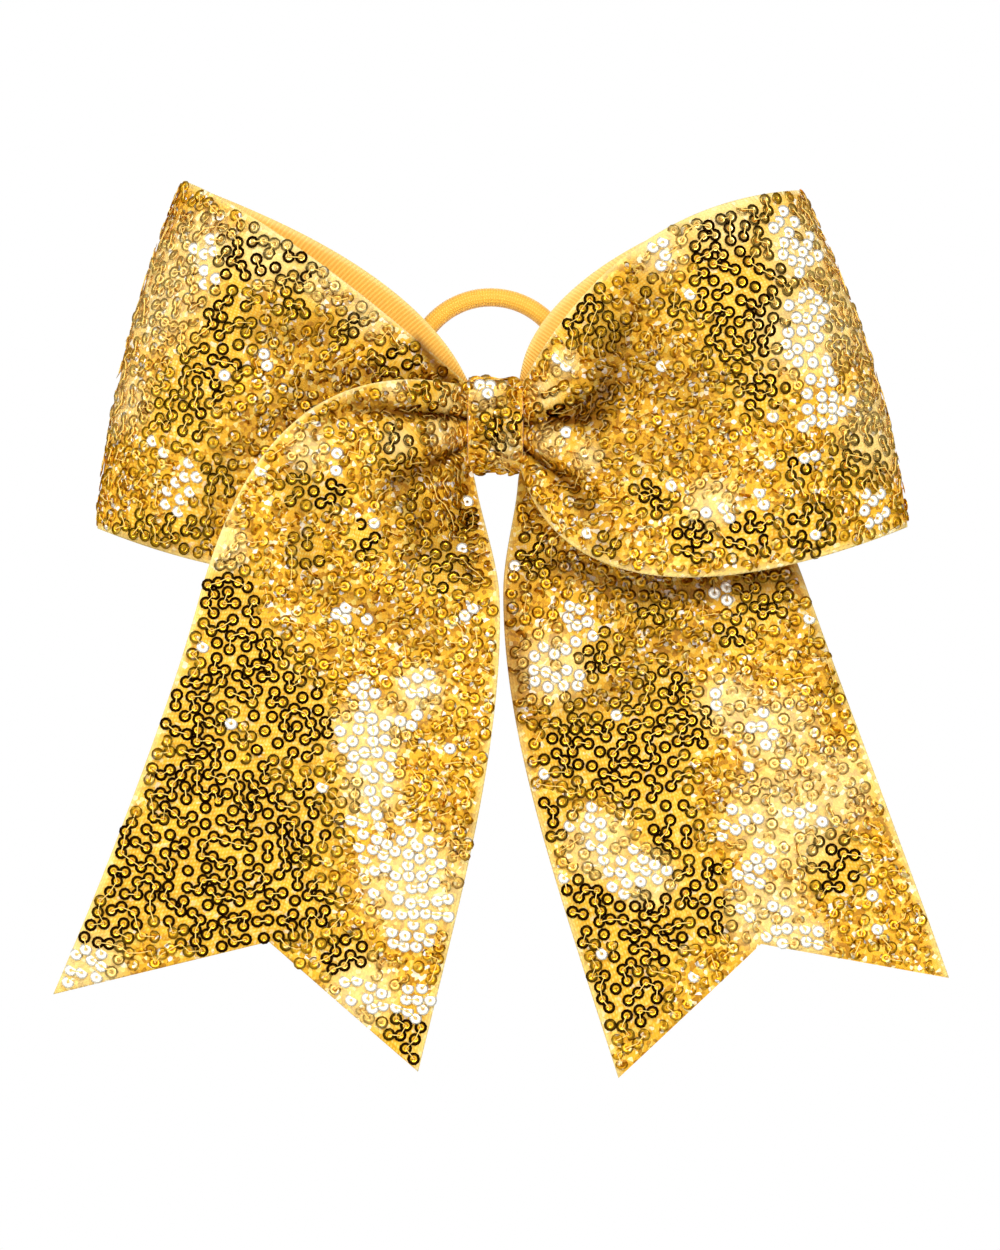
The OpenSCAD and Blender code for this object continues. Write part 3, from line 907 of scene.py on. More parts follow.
# %% Grid helpers
def normals_of(grid):
    """Unit normals of a grid, on the side of the net."""
    along = np.gradient(grid, axis=0)
    across = np.gradient(grid, axis=1)
    n = np.cross(along, across)
    return n / np.maximum(np.linalg.norm(n, axis=-1, keepdims=True), 1e-9)


def lengths_of(grid):
    """How far along and across the cloth each point is, in millimetres."""
    along = np.linalg.norm(np.diff(grid[:, grid.shape[1] // 2], axis=0), axis=-1)
    along = np.concatenate([[0], np.cumsum(along)])
    across = np.linspace(0, RIBBON_WIDTH, grid.shape[1])
    shape = grid.shape[:2]
    return np.broadcast_to(along[:, None], shape), np.broadcast_to(across[None, :], shape)


def area_of(grid):
    """The surface's area in square millimetres."""
    a = grid[1:, 1:] - grid[:-1, :-1]
    b = grid[1:, :-1] - grid[:-1, 1:]
    return 0.5 * np.linalg.norm(np.cross(a, b), axis=-1).sum()


def new_object(name, mesh):
    """A shown object for a mesh, at the origin."""
    piece = bpy.data.objects.new(name, mesh)
    bpy.context.scene.collection.objects.link(piece)
    return piece


def store(mesh, name, values):
    """Keeps one value for each vertex on the mesh, for the materials and the trees to read."""
    mesh.attributes.new(name, "FLOAT", "POINT").data.foreach_set("value", values)


# %% Ribbon mesh
NET_T = 0.45
LINING_T = 0.4
SELVEDGE_W = 1.7
SELVEDGE_FADE = 0.8
SELVEDGE_PALE = 0.7
NET_FLAKES_LEAST = 0.25
NET_FLAKES_MORE = 0.65


def cloth_faces(rows, columns, sign, closed):
    """The faces of both skins and of the wall round their edges, and the material slot of each."""
    faces = []
    finish = []

    def at(side, i, j):
        wrapped = i % (rows - 1) if closed else i
        return (side * rows + wrapped) * columns + j

    def add(corners, slot_number):
        faces.append(corners if sign > 0 else corners[::-1])
        finish.append(slot_number)

    for i in range(rows - 1):
        for j in range(columns - 1):
            add([at(0, i, j), at(0, i + 1, j), at(0, i + 1, j + 1), at(0, i, j + 1)], 0)
            add([at(1, i, j), at(1, i, j + 1), at(1, i + 1, j + 1), at(1, i + 1, j)], 1)
        add([at(0, i + 1, 0), at(0, i, 0), at(1, i, 0), at(1, i + 1, 0)], 1)
        last = columns - 1
        add([at(0, i, last), at(0, i + 1, last), at(1, i + 1, last), at(1, i, last)], 1)
    if not closed:
        for j in range(columns - 1):
            add([at(0, 0, j), at(0, 0, j + 1), at(1, 0, j + 1), at(1, 0, j)], 1)
            end = rows - 1
            add([at(0, end, j + 1), at(0, end, j), at(1, end, j), at(1, end, j + 1)], 1)
    return faces, finish


def store_tones(mesh, name, places, facings, pale):
    """Keeps what the materials read on both skins: pale edges, painted shade in creases, painted light on
    sunlit cloth and painted flakes of reflection.
    """
    store(mesh, "selvedge", np.tile(pale, 2))
    deep = shade_at(name, places, facings)
    inner = shade_at(name, places, -facings)
    store(mesh, "shade", np.concatenate([deep, inner]))
    store(mesh, "sunlit", np.tile(sunlit_at(name, places, facings), 2))
    lively = NET_FLAKES_LEAST + NET_FLAKES_MORE * (1 - ease(calm_at(name, places, facings)))
    store(mesh, "lively", np.tile(lively, 2))


def drop_loose(mesh, keep):
    """Removes the points that no face uses, where a band's last row is its first."""
    work = bmesh.new()
    work.from_mesh(mesh)
    work.verts.ensure_lookup_table()
    loose = [vertex for vertex in work.verts if not keep[vertex.index] and not vertex.link_faces]
    bmesh.ops.delete(work, geom=loose, context="VERTS")
    work.to_mesh(mesh)
    work.free()


def cloth(name, grid, sign=1, closed=False):
    """A closed thin sheet on a grid: net outside, grosgrain inside, with a UV map in millimetres."""
    rows, columns = grid.shape[:2]
    n = normals_of(grid) * sign
    if closed:
        n[0] = n[-1] = (n[0] + n[-1]) / np.linalg.norm(n[0] + n[-1], axis=-1, keepdims=True)
    skins = [grid + NET_T * n, grid - LINING_T * n]
    points = np.concatenate([s.reshape(-1, 3) for s in skins]) * MM
    along, across = lengths_of(grid)
    faces, finish = cloth_faces(rows, columns, sign, closed)
    mesh = bpy.data.meshes.new(name)
    mesh.from_pydata(points.tolist(), [], faces)
    mesh.materials.append(net)
    mesh.materials.append(grosgrain)
    mesh.polygons.foreach_set("material_index", finish)
    mesh.polygons.foreach_set("use_smooth", [True] * len(faces))
    corner = np.array([vertex for face in mesh.polygons for vertex in face.vertices]) % (rows * columns)
    uv = np.stack([along.reshape(-1)[corner], across.reshape(-1)[corner]], axis=-1)
    mesh.uv_layers.new(name="cloth").data.foreach_set("uv", uv.reshape(-1))
    edge = np.minimum(across, RIBBON_WIDTH - across).reshape(-1)
    pale = SELVEDGE_PALE * np.clip((SELVEDGE_W - edge) / SELVEDGE_FADE, 0, 1) * (not closed)
    store_tones(mesh, name, grid.reshape(-1, 3), n.reshape(-1, 3), pale)
    if closed:
        spare = rows - 1
        keep = np.ones(len(mesh.vertices), bool)
        keep[spare * columns : rows * columns] = False
        keep[(rows + spare) * columns :] = False
        drop_loose(mesh, keep)
    mesh.update()
    print(name, "area, mm2:", round(area_of(grid)), "length, mm:", round(float(along.max()), 1))
    return new_object(name + "_ribbon", mesh)


# %% The five ribbons
left_loop = cloth("left_loop", left_loop_surface)
right_loop = cloth("right_loop", right_loop_surface, sign=-1)
left_tail = cloth("left_tail", left_tail_surface)
right_tail = cloth("right_tail", right_tail_surface, sign=-1)
knot_wrap = cloth("knot", knot_surface, closed=True)

# %% [markdown]
# ## Where the sequins go
# Sequins are sewn on in wandering chains, close together but never stacked. Throwing darts at the
# cloth and keeping each that lands far enough from its neighbours gives that even, patternless
# spread. The seed is fixed, so the same bow comes out every time. Each sequin leans a little with the
# thread that holds it.

# %% Dart throwing
SEQUIN_SPACING = 2.25
KNOT_SPACING = 1.8
SEQUIN_LIFT = 0.62
EDGE_MARGIN = 1.4
EDGE_WANDER = 0.4
DARTS_PER_AREA = 3.0


def scatter(name, grid, sign, seed):
    """Sequin places on a grid: positions and normals, no two closer than the spacing."""
    spacing = KNOT_SPACING if name == "knot" else SEQUIN_SPACING
    rng = np.random.default_rng(seed)
    n = normals_of(grid) * sign
    a = grid[1:, 1:] - grid[:-1, :-1]
    b = grid[1:, :-1] - grid[:-1, 1:]
    share = np.linalg.norm(np.cross(a, b), axis=-1).reshape(-1) / 2
    count = int(share.sum() * DARTS_PER_AREA)
    cell = rng.choice(len(share), size=count, p=share / share.sum())
    i, j = np.divmod(cell, grid.shape[1] - 1)
    fi, fj = rng.random((2, count))[..., None]

    def at(values):
        low = blend_values(values[i, j], values[i, j + 1], fj)
        high = blend_values(values[i + 1, j], values[i + 1, j + 1], fj)
        return blend_values(low, high, fi)

    place = at(grid)
    normal = at(n)
    normal /= np.linalg.norm(normal, axis=-1, keepdims=True)
    edges = [grid[:, 0], grid[:, -1]] if name == "knot" else [grid[:, 0], grid[:, -1], grid[-1]]
    rim = np.concatenate(edges)
    rims = kdtree.KDTree(len(rim))
    for index, point in enumerate(rim):
        rims.insert(point, index)
    rims.balance()
    kept = []
    buckets = {}
    for index, point in enumerate(place):
        key = tuple(np.floor(point / spacing).astype(int))
        near = [
            other
            for dx in (-1, 0, 1)
            for dy in (-1, 0, 1)
            for dz in (-1, 0, 1)
            for other in buckets.get((key[0] + dx, key[1] + dy, key[2] + dz), ())
        ]
        if any(np.dot(point - place[o], point - place[o]) < spacing**2 for o in near):
            continue
        if rims.find(point)[2] < EDGE_MARGIN + EDGE_WANDER * ripple(point[0] * 3, point[2] * 3, seed):
            continue
        kept.append(index)
        buckets.setdefault(key, []).append(index)
    return place[kept], normal[kept], rng


# %% [markdown]
# ## Chains, tilts and glints
# The thread runs from one sequin's hole to the next. Taking the shortest gaps first, and never giving
# a sequin more than two threads or closing a ring, makes chains that wander as the real ones do.
# Here and there the cloth's swing turns a patch of sequins to face the light, and those flash white.
# The patches are listed by place. Each sequin in one is turned halfway between the key light and the
# bow's front, as a mirror must be to send that light forwards. Its foil is also painted near white and
# made less metallic, a painted highlight.

# %% Chains
LONGEST_STITCH = 2.9


def chains(place):
    """Pairs of neighbouring sequins joined by thread."""
    tree = kdtree.KDTree(len(place))
    for index, point in enumerate(place):
        tree.insert(point, index)
    tree.balance()
    gaps = sorted(
        (far, index, other)
        for index, point in enumerate(place)
        for _, other, far in tree.find_range(point, LONGEST_STITCH)
        if other > index
    )
    threads = np.zeros(len(place), int)
    chain_of = list(range(len(place)))

    def root(index):
        while chain_of[index] != index:
            chain_of[index] = chain_of[chain_of[index]]
            index = chain_of[index]
        return index

    joined = []
    for _, one, two in gaps:
        if threads[one] > 1 or threads[two] > 1 or root(one) == root(two):
            continue
        threads[one] += 1
        threads[two] += 1
        chain_of[root(one)] = root(two)
        joined.append((one, two))
    return joined


# %% Patches that catch the light, where sequins turn to the key light and get a painted highlight, as x, z and radius in millimetres
GLINTS = {
    "left_loop": [(-48, 13, 2), (-61, 37, 2.5), (-60, 31, 2), (-66, -12, 3), (-68, -16, 2)],
    "right_loop": [
        (61, 42, 2), (64, 35, 3.5), (66, 24, 3.5), (65, 16, 3.5), (68, 10, 3.5), (71, 3, 3.5), (67, 1, 2),
        (67, -7, 2), (35, 37, 2.4), (14, 13, 1.3), (15, -2.5, 0.9), (58, -9, 1), (57, -16, 1.6),
        (46, -18, 2.4), (37, -14, 1.1), (80, -18, 2.5),
    ],
    "left_tail": [
        (-29, -57, 2.5), (-16, -56, 3), (-26, -64, 3.5), (-31, -66, 2), (-18, -64, 2), (-26, -72, 4),
        (-25, -77, 2.5), (-27, -84, 3), (-26, -91, 3), (-18, -92, 5), (-18, -99, 5.5), (-14, -104, 4),
        (-18, -108, 4), (-29, -120, 3), (-17, -123, 3), (-24, -124, 2), (-87, -116, 3.5), (-34, -10, 1.7),
        (-26, -21, 0.9), (-32, -40, 1.5), (-26, -42, 1), (-5, -40, 1.4),
    ],
    "right_tail": [
        (48, -37, 2), (18, -42, 3.5), (10, -50, 2.5), (11, -55, 3.5), (16, -54, 2), (47, -58, 2),
        (57, -65, 3), (21, -86, 3.5), (22, -91, 2.5), (28, -95, 3.5), (34, -97, 3), (54, -83, 2.5),
        (50, -87, 2), (62, -83, 2), (67, -84, 2.5), (57, -92, 3), (56, -97, 2), (54, -104, 2),
        (62, -103, 2.5), (61, -109, 2.5), (67, -110, 2.5), (14, -96, 2),
    ],
    "knot": [(-2.5, 7.5, 1.5)],
}
STRAY_GLINTS = 0.01
TILT_CALM = 0.07
TILT_LIVELY = 0.31
GLINT_REACH = 1.65
GLINT_SHARE = 1.6
GLINT_WOBBLE = 0.03
# How dark the painted ring reflection is, and where it fades.
RING_LEAST = 0.06
CALM_JITTER = 0.3
RING_BASE = 0.12
RING_JITTER = 0.3
CREASE_HIDES_RING = 0.7
RING_FADE_START = 1.3
RING_ON_SIDES = 0.3
SIDEWAYS = 0.5
SIDEWAYS_TILT = 0.4
print("patches that catch the light:", {name: len(patches) for name, patches in GLINTS.items()})


def leaning(name, normal, rng, place):
    """Each sequin's own direction, how dark its painted ring reflection is, and whether it turns to the key
    light and gets a painted highlight.
    """
    count = len(place)
    calm = ease(calm_at(name, place, normal) + CALM_JITTER * (rng.random(count) - 0.5))
    # The dark ring is a painted reflection: strongest where sequins lie flat, fainter in painted shade and on
    # sideways sequins.
    dark = np.clip(RING_BASE + calm + RING_JITTER * (rng.random(count) - 0.5), RING_LEAST, 1.0)
    in_crease = 1 - CREASE_HIDES_RING * shade_at(name, place, normal)
    dark *= in_crease * np.clip(RING_FADE_START - np.abs(normal[:, 0]), RING_ON_SIDES, 1.0)
    # Glints: the sequin is turned to mirror the key light and its foil gets a painted highlight.
    glint = patch_strength(place, GLINTS[name], GLINT_REACH)
    bright = (rng.random(count) < GLINT_SHARE * glint) | (rng.random(count) < STRAY_GLINTS)
    bright &= normal[:, 1] < -FACES_FRONT
    tilt = rng.normal(size=(count, 3)) * blend_values(TILT_LIVELY, TILT_CALM, calm)[:, None]
    tilt *= np.where(np.abs(normal[:, 0]) > SIDEWAYS, SIDEWAYS_TILT, 1.0)[:, None]
    direction = normal + tilt
    towards = np.array((KEY_PLACE.normalized() + Vector((0, -1, 0))).normalized())
    direction[bright] = towards + GLINT_WOBBLE * rng.normal(size=(int(bright.sum()), 3))
    direction /= np.linalg.norm(direction, axis=-1, keepdims=True)
    dark[bright] = 0.0
    return direction, dark, bright.astype(float), 1 - calm


# %% [markdown]
# ## The sequin and its Geometry Nodes
# One sequin is a shallow cup with a hole: ten sides and four rings of faces are enough, because
# there are thousands. The tree puts it on every point, turns it as the point's own attribute says,
# makes the copies real and gives them their foil.

# %% One sequin
SEQUIN_SIDES = 10
SEQUIN_HOLE_R = 0.26
SEQUIN_FLAT_R = 0.78
SEQUIN_R = 1.4
SEQUIN_RISE = 0.04
SEQUIN_T = 0.09


def sequin_shape():
    """A closed cup sequin in metres, hidden, with each vertex's radius as an attribute."""
    rings = [(SEQUIN_HOLE_R, 0), (SEQUIN_FLAT_R, 0), (SEQUIN_R, SEQUIN_RISE), (SEQUIN_HOLE_R, -SEQUIN_T)]
    points = []
    radii = []
    for radius, height in rings:
        for k in range(SEQUIN_SIDES):
            angle = 2 * math.pi * k / SEQUIN_SIDES
            points.append((radius * MM * math.cos(angle), radius * MM * math.sin(angle), height * MM))
            radii.append(radius / SEQUIN_R)
    faces = []
    for ring in range(len(rings)):
        beyond = (ring + 1) % len(rings)
        for k in range(SEQUIN_SIDES):
            after = (k + 1) % SEQUIN_SIDES
            here = ring * SEQUIN_SIDES
            there = beyond * SEQUIN_SIDES
            faces.append((here + k, there + k, there + after, here + after))
    mesh = bpy.data.meshes.new("sequin_shape")
    mesh.from_pydata(points, [], faces)
    store(mesh, "radius", radii)
    mesh.polygons.foreach_set("use_smooth", [True] * len(faces))
    return bpy.data.objects.new("sequin_shape", mesh)


sequin = sequin_shape()
print("faces in one sequin:", len(sequin.data.polygons))


# %% Geometry Nodes trees
def new_tree(name, sockets):
    """An empty geometry tree with a geometry input and output and those further inputs."""
    tree = bpy.data.node_groups.new(name, "GeometryNodeTree")
    tree.interface.new_socket(name="Geometry", in_out="INPUT", socket_type="NodeSocketGeometry")
    for label, kind in sockets:
        tree.interface.new_socket(name=label, in_out="INPUT", socket_type=kind)
    tree.interface.new_socket(name="Geometry", in_out="OUTPUT", socket_type="NodeSocketGeometry")
    return tree, tree.nodes.new("NodeGroupInput"), tree.nodes.new("NodeGroupOutput")


def finish_tree(tree, source, tree_in, tree_out):
    """Makes the copies real, sets the material and ends the tree."""
    real = tree.nodes.new("GeometryNodeRealizeInstances")
    painted = tree.nodes.new("GeometryNodeSetMaterial")
    tree.links.new(source, real.inputs[0])
    tree.links.new(real.outputs[0], painted.inputs["Geometry"])
    tree.links.new(tree_in.outputs["Finish"], painted.inputs["Material"])
    tree.links.new(painted.outputs[0], tree_out.inputs[0])


def sequin_tree():
    """A sequin on every point, turned by the point's attribute."""
    sockets = [
        ("Sequin", "NodeSocketObject"),
        ("Size", "NodeSocketFloat"),
        ("Finish", "NodeSocketMaterial"),
    ]
    tree, tree_in, tree_out = new_tree("sequins_on_points", sockets)
    shape = tree.nodes.new("GeometryNodeObjectInfo")
    turn = tree.nodes.new("GeometryNodeInputNamedAttribute")
    turn.data_type = "FLOAT_VECTOR"
    turn.inputs["Name"].default_value = "turn"
    to_rotation = tree.nodes.new("FunctionNodeEulerToRotation")
    copies = tree.nodes.new("GeometryNodeInstanceOnPoints")
    tree.links.new(tree_in.outputs["Sequin"], shape.inputs["Object"])
    tree.links.new(turn.outputs["Attribute"], to_rotation.inputs[0])
    tree.links.new(tree_in.outputs["Geometry"], copies.inputs["Points"])
    tree.links.new(shape.outputs["Geometry"], copies.inputs["Instance"])
    tree.links.new(to_rotation.outputs[0], copies.inputs["Rotation"])
    tree.links.new(tree_in.outputs["Size"], copies.inputs["Scale"])
    finish_tree(tree, copies.outputs[0], tree_in, tree_out)
    return tree


def stitch_tree():
    """A thin tube along every edge."""
    sockets = [
        ("Thread radius", "NodeSocketFloat"),
        ("Sides", "NodeSocketInt"),
        ("Finish", "NodeSocketMaterial"),
    ]
    tree, tree_in, tree_out = new_tree("thread_on_edges", sockets)
    line = tree.nodes.new("GeometryNodeMeshToCurve")
    circle = tree.nodes.new("GeometryNodeCurvePrimitiveCircle")
    tube = tree.nodes.new("GeometryNodeCurveToMesh")
    tube.inputs["Fill Caps"].default_value = True
    tree.links.new(tree_in.outputs["Geometry"], line.inputs["Mesh"])
    tree.links.new(tree_in.outputs["Thread radius"], circle.inputs["Radius"])
    tree.links.new(tree_in.outputs["Sides"], circle.inputs["Resolution"])
    tree.links.new(line.outputs[0], tube.inputs["Curve"])
    tree.links.new(circle.outputs[0], tube.inputs["Profile Curve"])
    finish_tree(tree, tube.outputs[0], tree_in, tree_out)
    return tree


sequins_on_points = sequin_tree()
thread_on_edges = stitch_tree()
print("trees:", sequins_on_points.name, thread_on_edges.name)


def grown(name, source, tree, values):
    """Runs a tree on a mesh with those inputs, and returns the result as a plain object."""
    seedling = new_object(name + "_points", source)
    modifier = seedling.modifiers.new("grow", "NODES")
    modifier.node_group = tree
    for item in tree.interface.items_tree:
        if item.in_out == "INPUT" and item.name in values:
            modifier[item.identifier] = values[item.name]
    bpy.context.view_layer.update()
    graph = bpy.context.evaluated_depsgraph_get()
    mesh = bpy.data.meshes.new_from_object(seedling.evaluated_get(graph), depsgraph=graph)
    mesh.name = name
    bpy.data.objects.remove(seedling)
    bpy.data.meshes.remove(source)
    return new_object(name, mesh)


# %% Sewing the sequins on
THREAD_R = 0.13
THREAD_LIFT = 0.15
THREAD_SIDES = 5
LIFT_SPREAD = 0.22
FOIL_FLAKES = 0.9


def sew(name, grid, sign, seed):
    """All the sequins of one ribbon, and the thread between them."""
    place, normal, rng = scatter(name, grid, sign, seed)
    direction, dark, glint, lively = leaning(name, normal, rng, place)
    lift = SEQUIN_LIFT + LIFT_SPREAD * rng.random(len(place))
    points = bpy.data.meshes.new(name + "_points")
    points.from_pydata(((place + normal * lift[:, None]) * MM).tolist(), [], [])
    spin = rng.random(len(place)) * 2 * math.pi
    turns = [
        (Vector(d).to_track_quat("Z", "Y").to_matrix() @ Matrix.Rotation(a, 3, "Z")).to_euler()
        for d, a in zip(direction, spin)
    ]
    turn = points.attributes.new("turn", "FLOAT_VECTOR", "POINT")
    turn.data.foreach_set("vector", np.array(turns).reshape(-1))
    # What the foil paints: the dark ring reflection, the white highlight, shade in creases, flakes of
    # reflection and light.
    deep = shade_at(name, place, normal)
    store(points, "dark", dark)
    store(points, "glint", glint)
    store(points, "shade", deep)
    store(points, "lively", lively * FOIL_FLAKES)
    store(points, "sunlit", sunlit_at(name, place, normal))
    sequins = grown(
        name + "_sequins", points, sequins_on_points, {"Sequin": sequin, "Size": 1.0, "Finish": foil}
    )
    joined = chains(place)
    over = (place + normal * (lift + THREAD_LIFT)[:, None]) * MM
    line = bpy.data.meshes.new(name + "_line")
    line.from_pydata(over.tolist(), joined, [])
    # Painted shade on the thread in the creases.
    store(line, "shade", deep)
    stitches = grown(
        name + "_stitches", line, thread_on_edges,
        {"Thread radius": THREAD_R * MM, "Sides": THREAD_SIDES, "Finish": thread_material},
    )
    print(name, "sequins:", len(place), "stitches:", len(joined))
    return sequins, stitches


left_loop_trim = sew("left_loop", left_loop_surface, 1, 11)
right_loop_trim = sew("right_loop", right_loop_surface, -1, 12)
left_tail_trim = sew("left_tail", left_tail_surface, 1, 13)
right_tail_trim = sew("right_tail", right_tail_surface, -1, 14)
knot_trim = sew("knot", knot_surface, 1, 15)

# %% [markdown]
# ## The gathered waist
# Inside the wrap the ribbon is crushed into a bundle of pleats, tied with thread. Only its ends show,
# beside the knot. It is drawn as one closed form whose outline goes in and out like pleats.

# %% Waist
WAIST_PLEATS = 15
WAIST_AROUND = 120
WAIST_STATIONS = 9
WAIST_POWER = 0.6
WAIST_SWELL = 0.94
PLEAT_DEPTH = 0.055


def squared(value):
    """A sine or cosine pushed outwards, so that a circle becomes a rounded square."""
    return math.copysign(abs(value) ** WAIST_POWER, value)


def waist_bundle():
    """A pleated bundle along X, in the space of the frame's three layers."""
    low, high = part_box("waist_rear_layer")
    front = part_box("waist_front_layer")[0][1]
    centre = np.array([(front + high[1]) / 2, (low[2] + high[2]) / 2])
    half = np.array([(high[1] - front) / 2, (high[2] - low[2]) / 2])
    around = WAIST_AROUND
    stations = np.linspace(low[0], high[0], WAIST_STATIONS)
    points = []
    for x in stations:
        for k in range(around):
            angle = 2 * math.pi * k / around
            pleats = math.cos(WAIST_PLEATS * angle + 0.6 * math.sin(3 * angle))
            swell = WAIST_SWELL + PLEAT_DEPTH * pleats
            shape = np.array([squared(math.cos(angle)), squared(math.sin(angle))])
            y, z = centre + half * shape * swell
            points.append((x, y, z))
    faces = []
    for i in range(len(stations) - 1):
        for k in range(around):
            after = (k + 1) % around
            here = i * around
            there = (i + 1) * around
            faces.append((here + k, here + after, there + after, there + k))
    faces.append(tuple(range(around))[::-1])
    faces.append(tuple((len(stations) - 1) * around + k for k in range(around)))
    mesh = bpy.data.meshes.new("waist_bundle")
    mesh.from_pydata(points, [], faces)
    uv = mesh.uv_layers.new(name="cloth")
    for loop in mesh.loops:
        x, y, z = mesh.vertices[loop.vertex_index].co
        uv.data[loop.index].uv = (x / MM, z / MM)
    mesh.attributes.new("selvedge", "FLOAT", "POINT")
    mesh.materials.append(grosgrain)
    return new_object("waist_gathers", mesh)


waist = waist_bundle()
print("waist faces:", len(waist.data.polygons))

# %% [markdown]
# ## The elastic
# A four-millimetre hair elastic runs through a tunnel behind the waist and stands up in a ring. Its
# knitted cover is a smooth tube along the frame's own line: a straight stretch in the tunnel, two
# bends and a long arc. The frame's tube has flat sides, so a rounder one takes its place.

# %% Elastic cover
ELASTIC_X = -1.0
ELASTIC_Y = -3.25
ELASTIC_RING_R = 17.0
ELASTIC_RING_Z = 10.7
ELASTIC_BEND_R = 8.0
TUNNEL_HALF = 6.5
ELASTIC_R = 2.0
ELASTIC_SIDES = 24
TUNNEL_STEPS = 6
BEND_STEPS = 10
RING_STEPS = 90


def elastic_line():
    """Places along the elastic, each with the direction that faces out of the ring."""
    reach = ELASTIC_RING_R - ELASTIC_BEND_R
    drop = math.sqrt(reach**2 - TUNNEL_HALF**2)
    low = ELASTIC_RING_Z - drop - ELASTIC_BEND_R
    meet = math.atan2(-drop, TUNNEL_HALF)

    def arc(x, z, radius, start, end, count):
        angles = np.linspace(start, end, count + 1)[1:]
        return [(x + radius * math.cos(a), z + radius * math.sin(a), a) for a in angles]

    down, round_again = -math.pi / 2, 1.5 * math.pi
    bend_z = low + ELASTIC_BEND_R
    line = [(x, low, down) for x in np.linspace(0, TUNNEL_HALF, TUNNEL_STEPS)]
    line += arc(TUNNEL_HALF, bend_z, ELASTIC_BEND_R, down, meet, BEND_STEPS)
    line += arc(0, ELASTIC_RING_Z, ELASTIC_RING_R, meet, math.pi - meet, RING_STEPS)
    line += arc(-TUNNEL_HALF, bend_z, ELASTIC_BEND_R, math.pi - meet, round_again, BEND_STEPS)
    line += [(x, low, round_again) for x in np.linspace(-TUNNEL_HALF, 0, TUNNEL_STEPS)[1:-1]]
    return line


def elastic_tube():
    """The knitted cover as a closed ring of tube, with its UV map in millimetres."""
    line = elastic_line()
    count = len(line)
    steps = [math.dist(line[i][:2], line[(i + 1) % count][:2]) for i in range(count)]
    travelled = np.concatenate([[0], np.cumsum(steps)])
    points = []
    for x, z, facing in line:
        for k in range(ELASTIC_SIDES):
            turn = 2 * math.pi * k / ELASTIC_SIDES
            out = ELASTIC_R * math.cos(turn)
            points.append((
                (ELASTIC_X + x + out * math.cos(facing)) * MM,
                (ELASTIC_Y + ELASTIC_R * math.sin(turn)) * MM,
                (z + out * math.sin(facing)) * MM,
            ))
    faces = []
    uvs = []
    around = 2 * math.pi * ELASTIC_R / ELASTIC_SIDES
    for i in range(count):
        for k in range(ELASTIC_SIDES):
            corners = [(i, k), (i + 1, k), (i + 1, k + 1), (i, k + 1)]
            faces.append([(a % count) * ELASTIC_SIDES + b % ELASTIC_SIDES for a, b in corners])
            uvs += [(travelled[a], b * around) for a, b in corners]
    mesh = bpy.data.meshes.new("elastic_ring")
    mesh.from_pydata(points, [], faces)
    mesh.uv_layers.new(name="cloth").data.foreach_set("uv", np.array(uvs).reshape(-1))
    mesh.polygons.foreach_set("use_smooth", [True] * len(faces))
    mesh.materials.append(elastic_knit)
    print("elastic, mm round:", round(float(travelled[-1]), 1))
    return new_object("elastic_ring", mesh)


elastic = elastic_tube()

# %% [markdown]
# ## Finishes for the frame's own nodes
# What the cloth hides, the glue, the tying thread, the rubber and its joint, keeps the frame's exact
# shape and only gets its real finish.

# %% Inner pieces
INNER_FINISH = {
    "cinch_thread": thread_material,
    "knot_glue": glue,
    "elastic_core": rubber,
    "elastic_joint": glue,
}
for node_name, finish in INNER_FINISH.items():
    node_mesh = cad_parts[node_name].data
    node_mesh.materials.clear()
    node_mesh.materials.append(finish)
print("finished as they are:", sorted(INNER_FINISH))

# %% [markdown]
# ## Hanging the pieces on the frame
# The wrap, the waist, the elastic and the knot's sequins ride on the body that carries them. Loops and
# tails start in the knot, which holds them still; their pieces and their sequins keep their place baked
# into their meshes and ride on no body. Each piece hides the plain solids that it stands for.


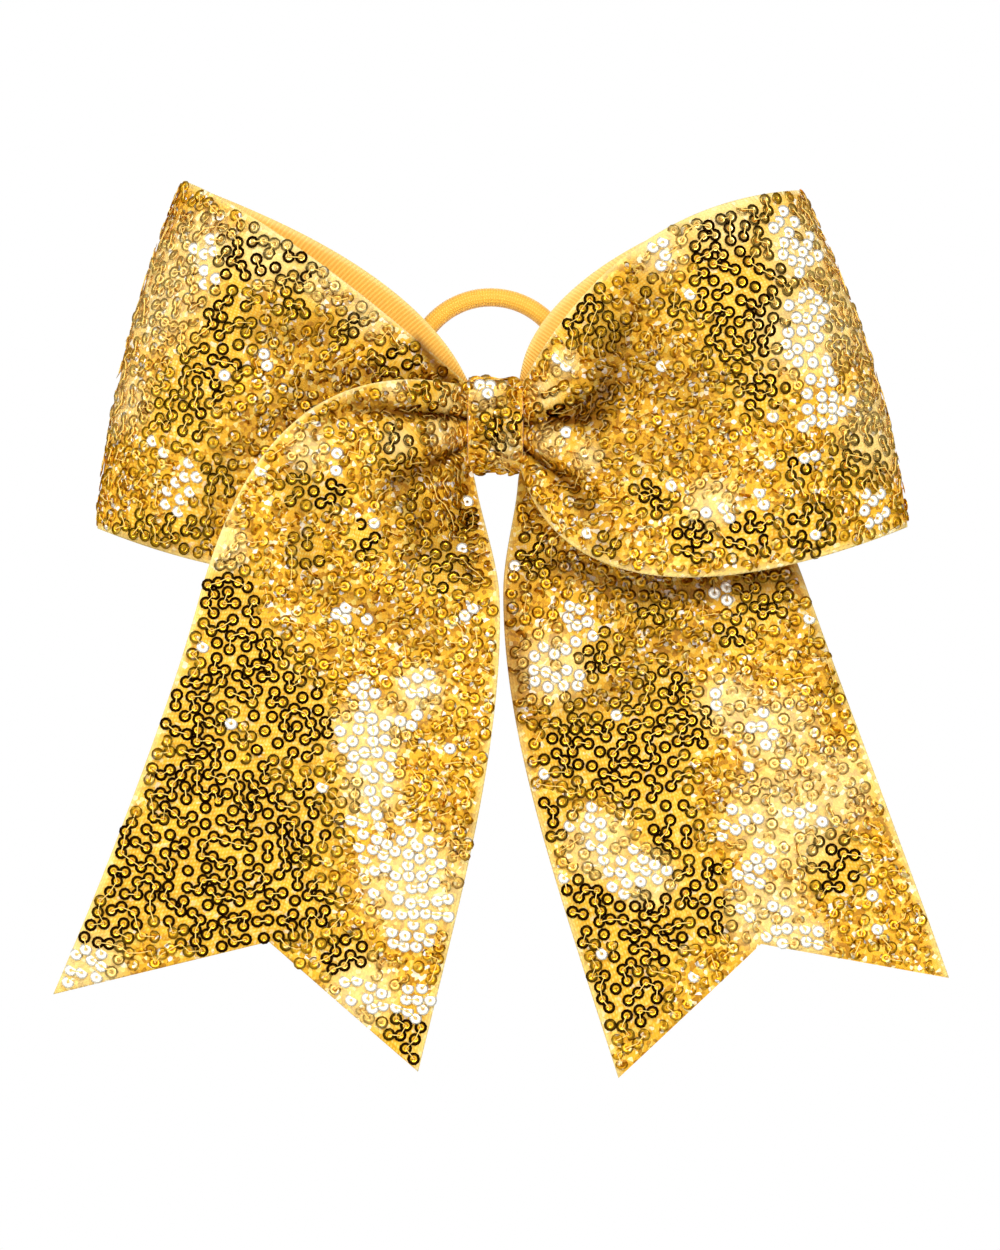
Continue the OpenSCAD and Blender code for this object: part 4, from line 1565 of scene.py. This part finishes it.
def dress(piece, slot_name, body, *nodes):
    """Rides on one body and hides those nodes, which it stands for; slot_name, the record's finish, is not
    used.
    """
    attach(piece, body)
    if nodes:
        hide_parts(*nodes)


LOOP_BEND = {"left_loop": Vector((-16 * MM, 0, 0)), "right_loop": Vector((16 * MM, 0, 0))}


def bend(piece, slot_name, body, *nodes):
    """Bakes the piece's place into its mesh and hides those nodes."""
    if body in LOOP_BEND:
        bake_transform(piece)
    else:
        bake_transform(piece)
    if nodes:
        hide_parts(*nodes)


bend(left_loop, "sequin_net", "left_loop", "left_loop_facing", "left_loop_lining")
bend(right_loop, "sequin_net", "right_loop", "right_loop_facing", "right_loop_lining")
dress(knot_wrap, "sequin_net", "knot", "knot_facing", "knot_lining")
dress(waist, "grosgrain", "knot", "waist_front_layer", "waist_middle_layer", "waist_rear_layer")
dress(elastic, "elastic_knit", "elastic", "elastic_cover")
bend(
    left_tail, "sequin_net", "left_tail",
    "left_lobe_facing", "left_lobe_lining", "left_tail_facing", "left_tail_lining",
)
bend(
    right_tail, "sequin_net", "right_tail",
    "right_lobe_facing", "right_lobe_lining", "right_tail_facing", "right_tail_lining",
)
dress(knot_trim[0], "sequin_net", "knot")
dress(knot_trim[1], "thread", "knot")
bent_trims = {
    "left_loop": left_loop_trim,
    "right_loop": right_loop_trim,
    "left_tail": left_tail_trim,
    "right_tail": right_tail_trim,
}
for body, trim in bent_trims.items():
    bend(trim[0], "sequin_net", body)
    bend(trim[1], "thread", body)
print("bent from the knot:", sorted(bent_trims))

# %% [markdown]
# ## The floor
# The bow is held at its knot, so the floor is well below it and only shows in low views. It is a large
# square with softly mottled paint.

# %% Floor
FLOOR_Z = -0.30
FLOOR_HALF = 1.5
FLOOR_GREY = (0.9, 0.9, 0.9, 1.0)
floor_mesh = bpy.data.meshes.new("floor")
floor_corners = [(x * FLOOR_HALF, y * FLOOR_HALF, FLOOR_Z) for x, y in ((-1, -1), (1, -1), (1, 1), (-1, 1))]
floor_mesh.from_pydata(floor_corners, [], [(0, 1, 2, 3)])
floor_mesh.materials.append(make_plain("floor_paint", FLOOR_GREY, roughness=0.8, scale=3, amount=0.02))
floor = new_object("floor", floor_mesh)
print("floor height, m:", FLOOR_Z)
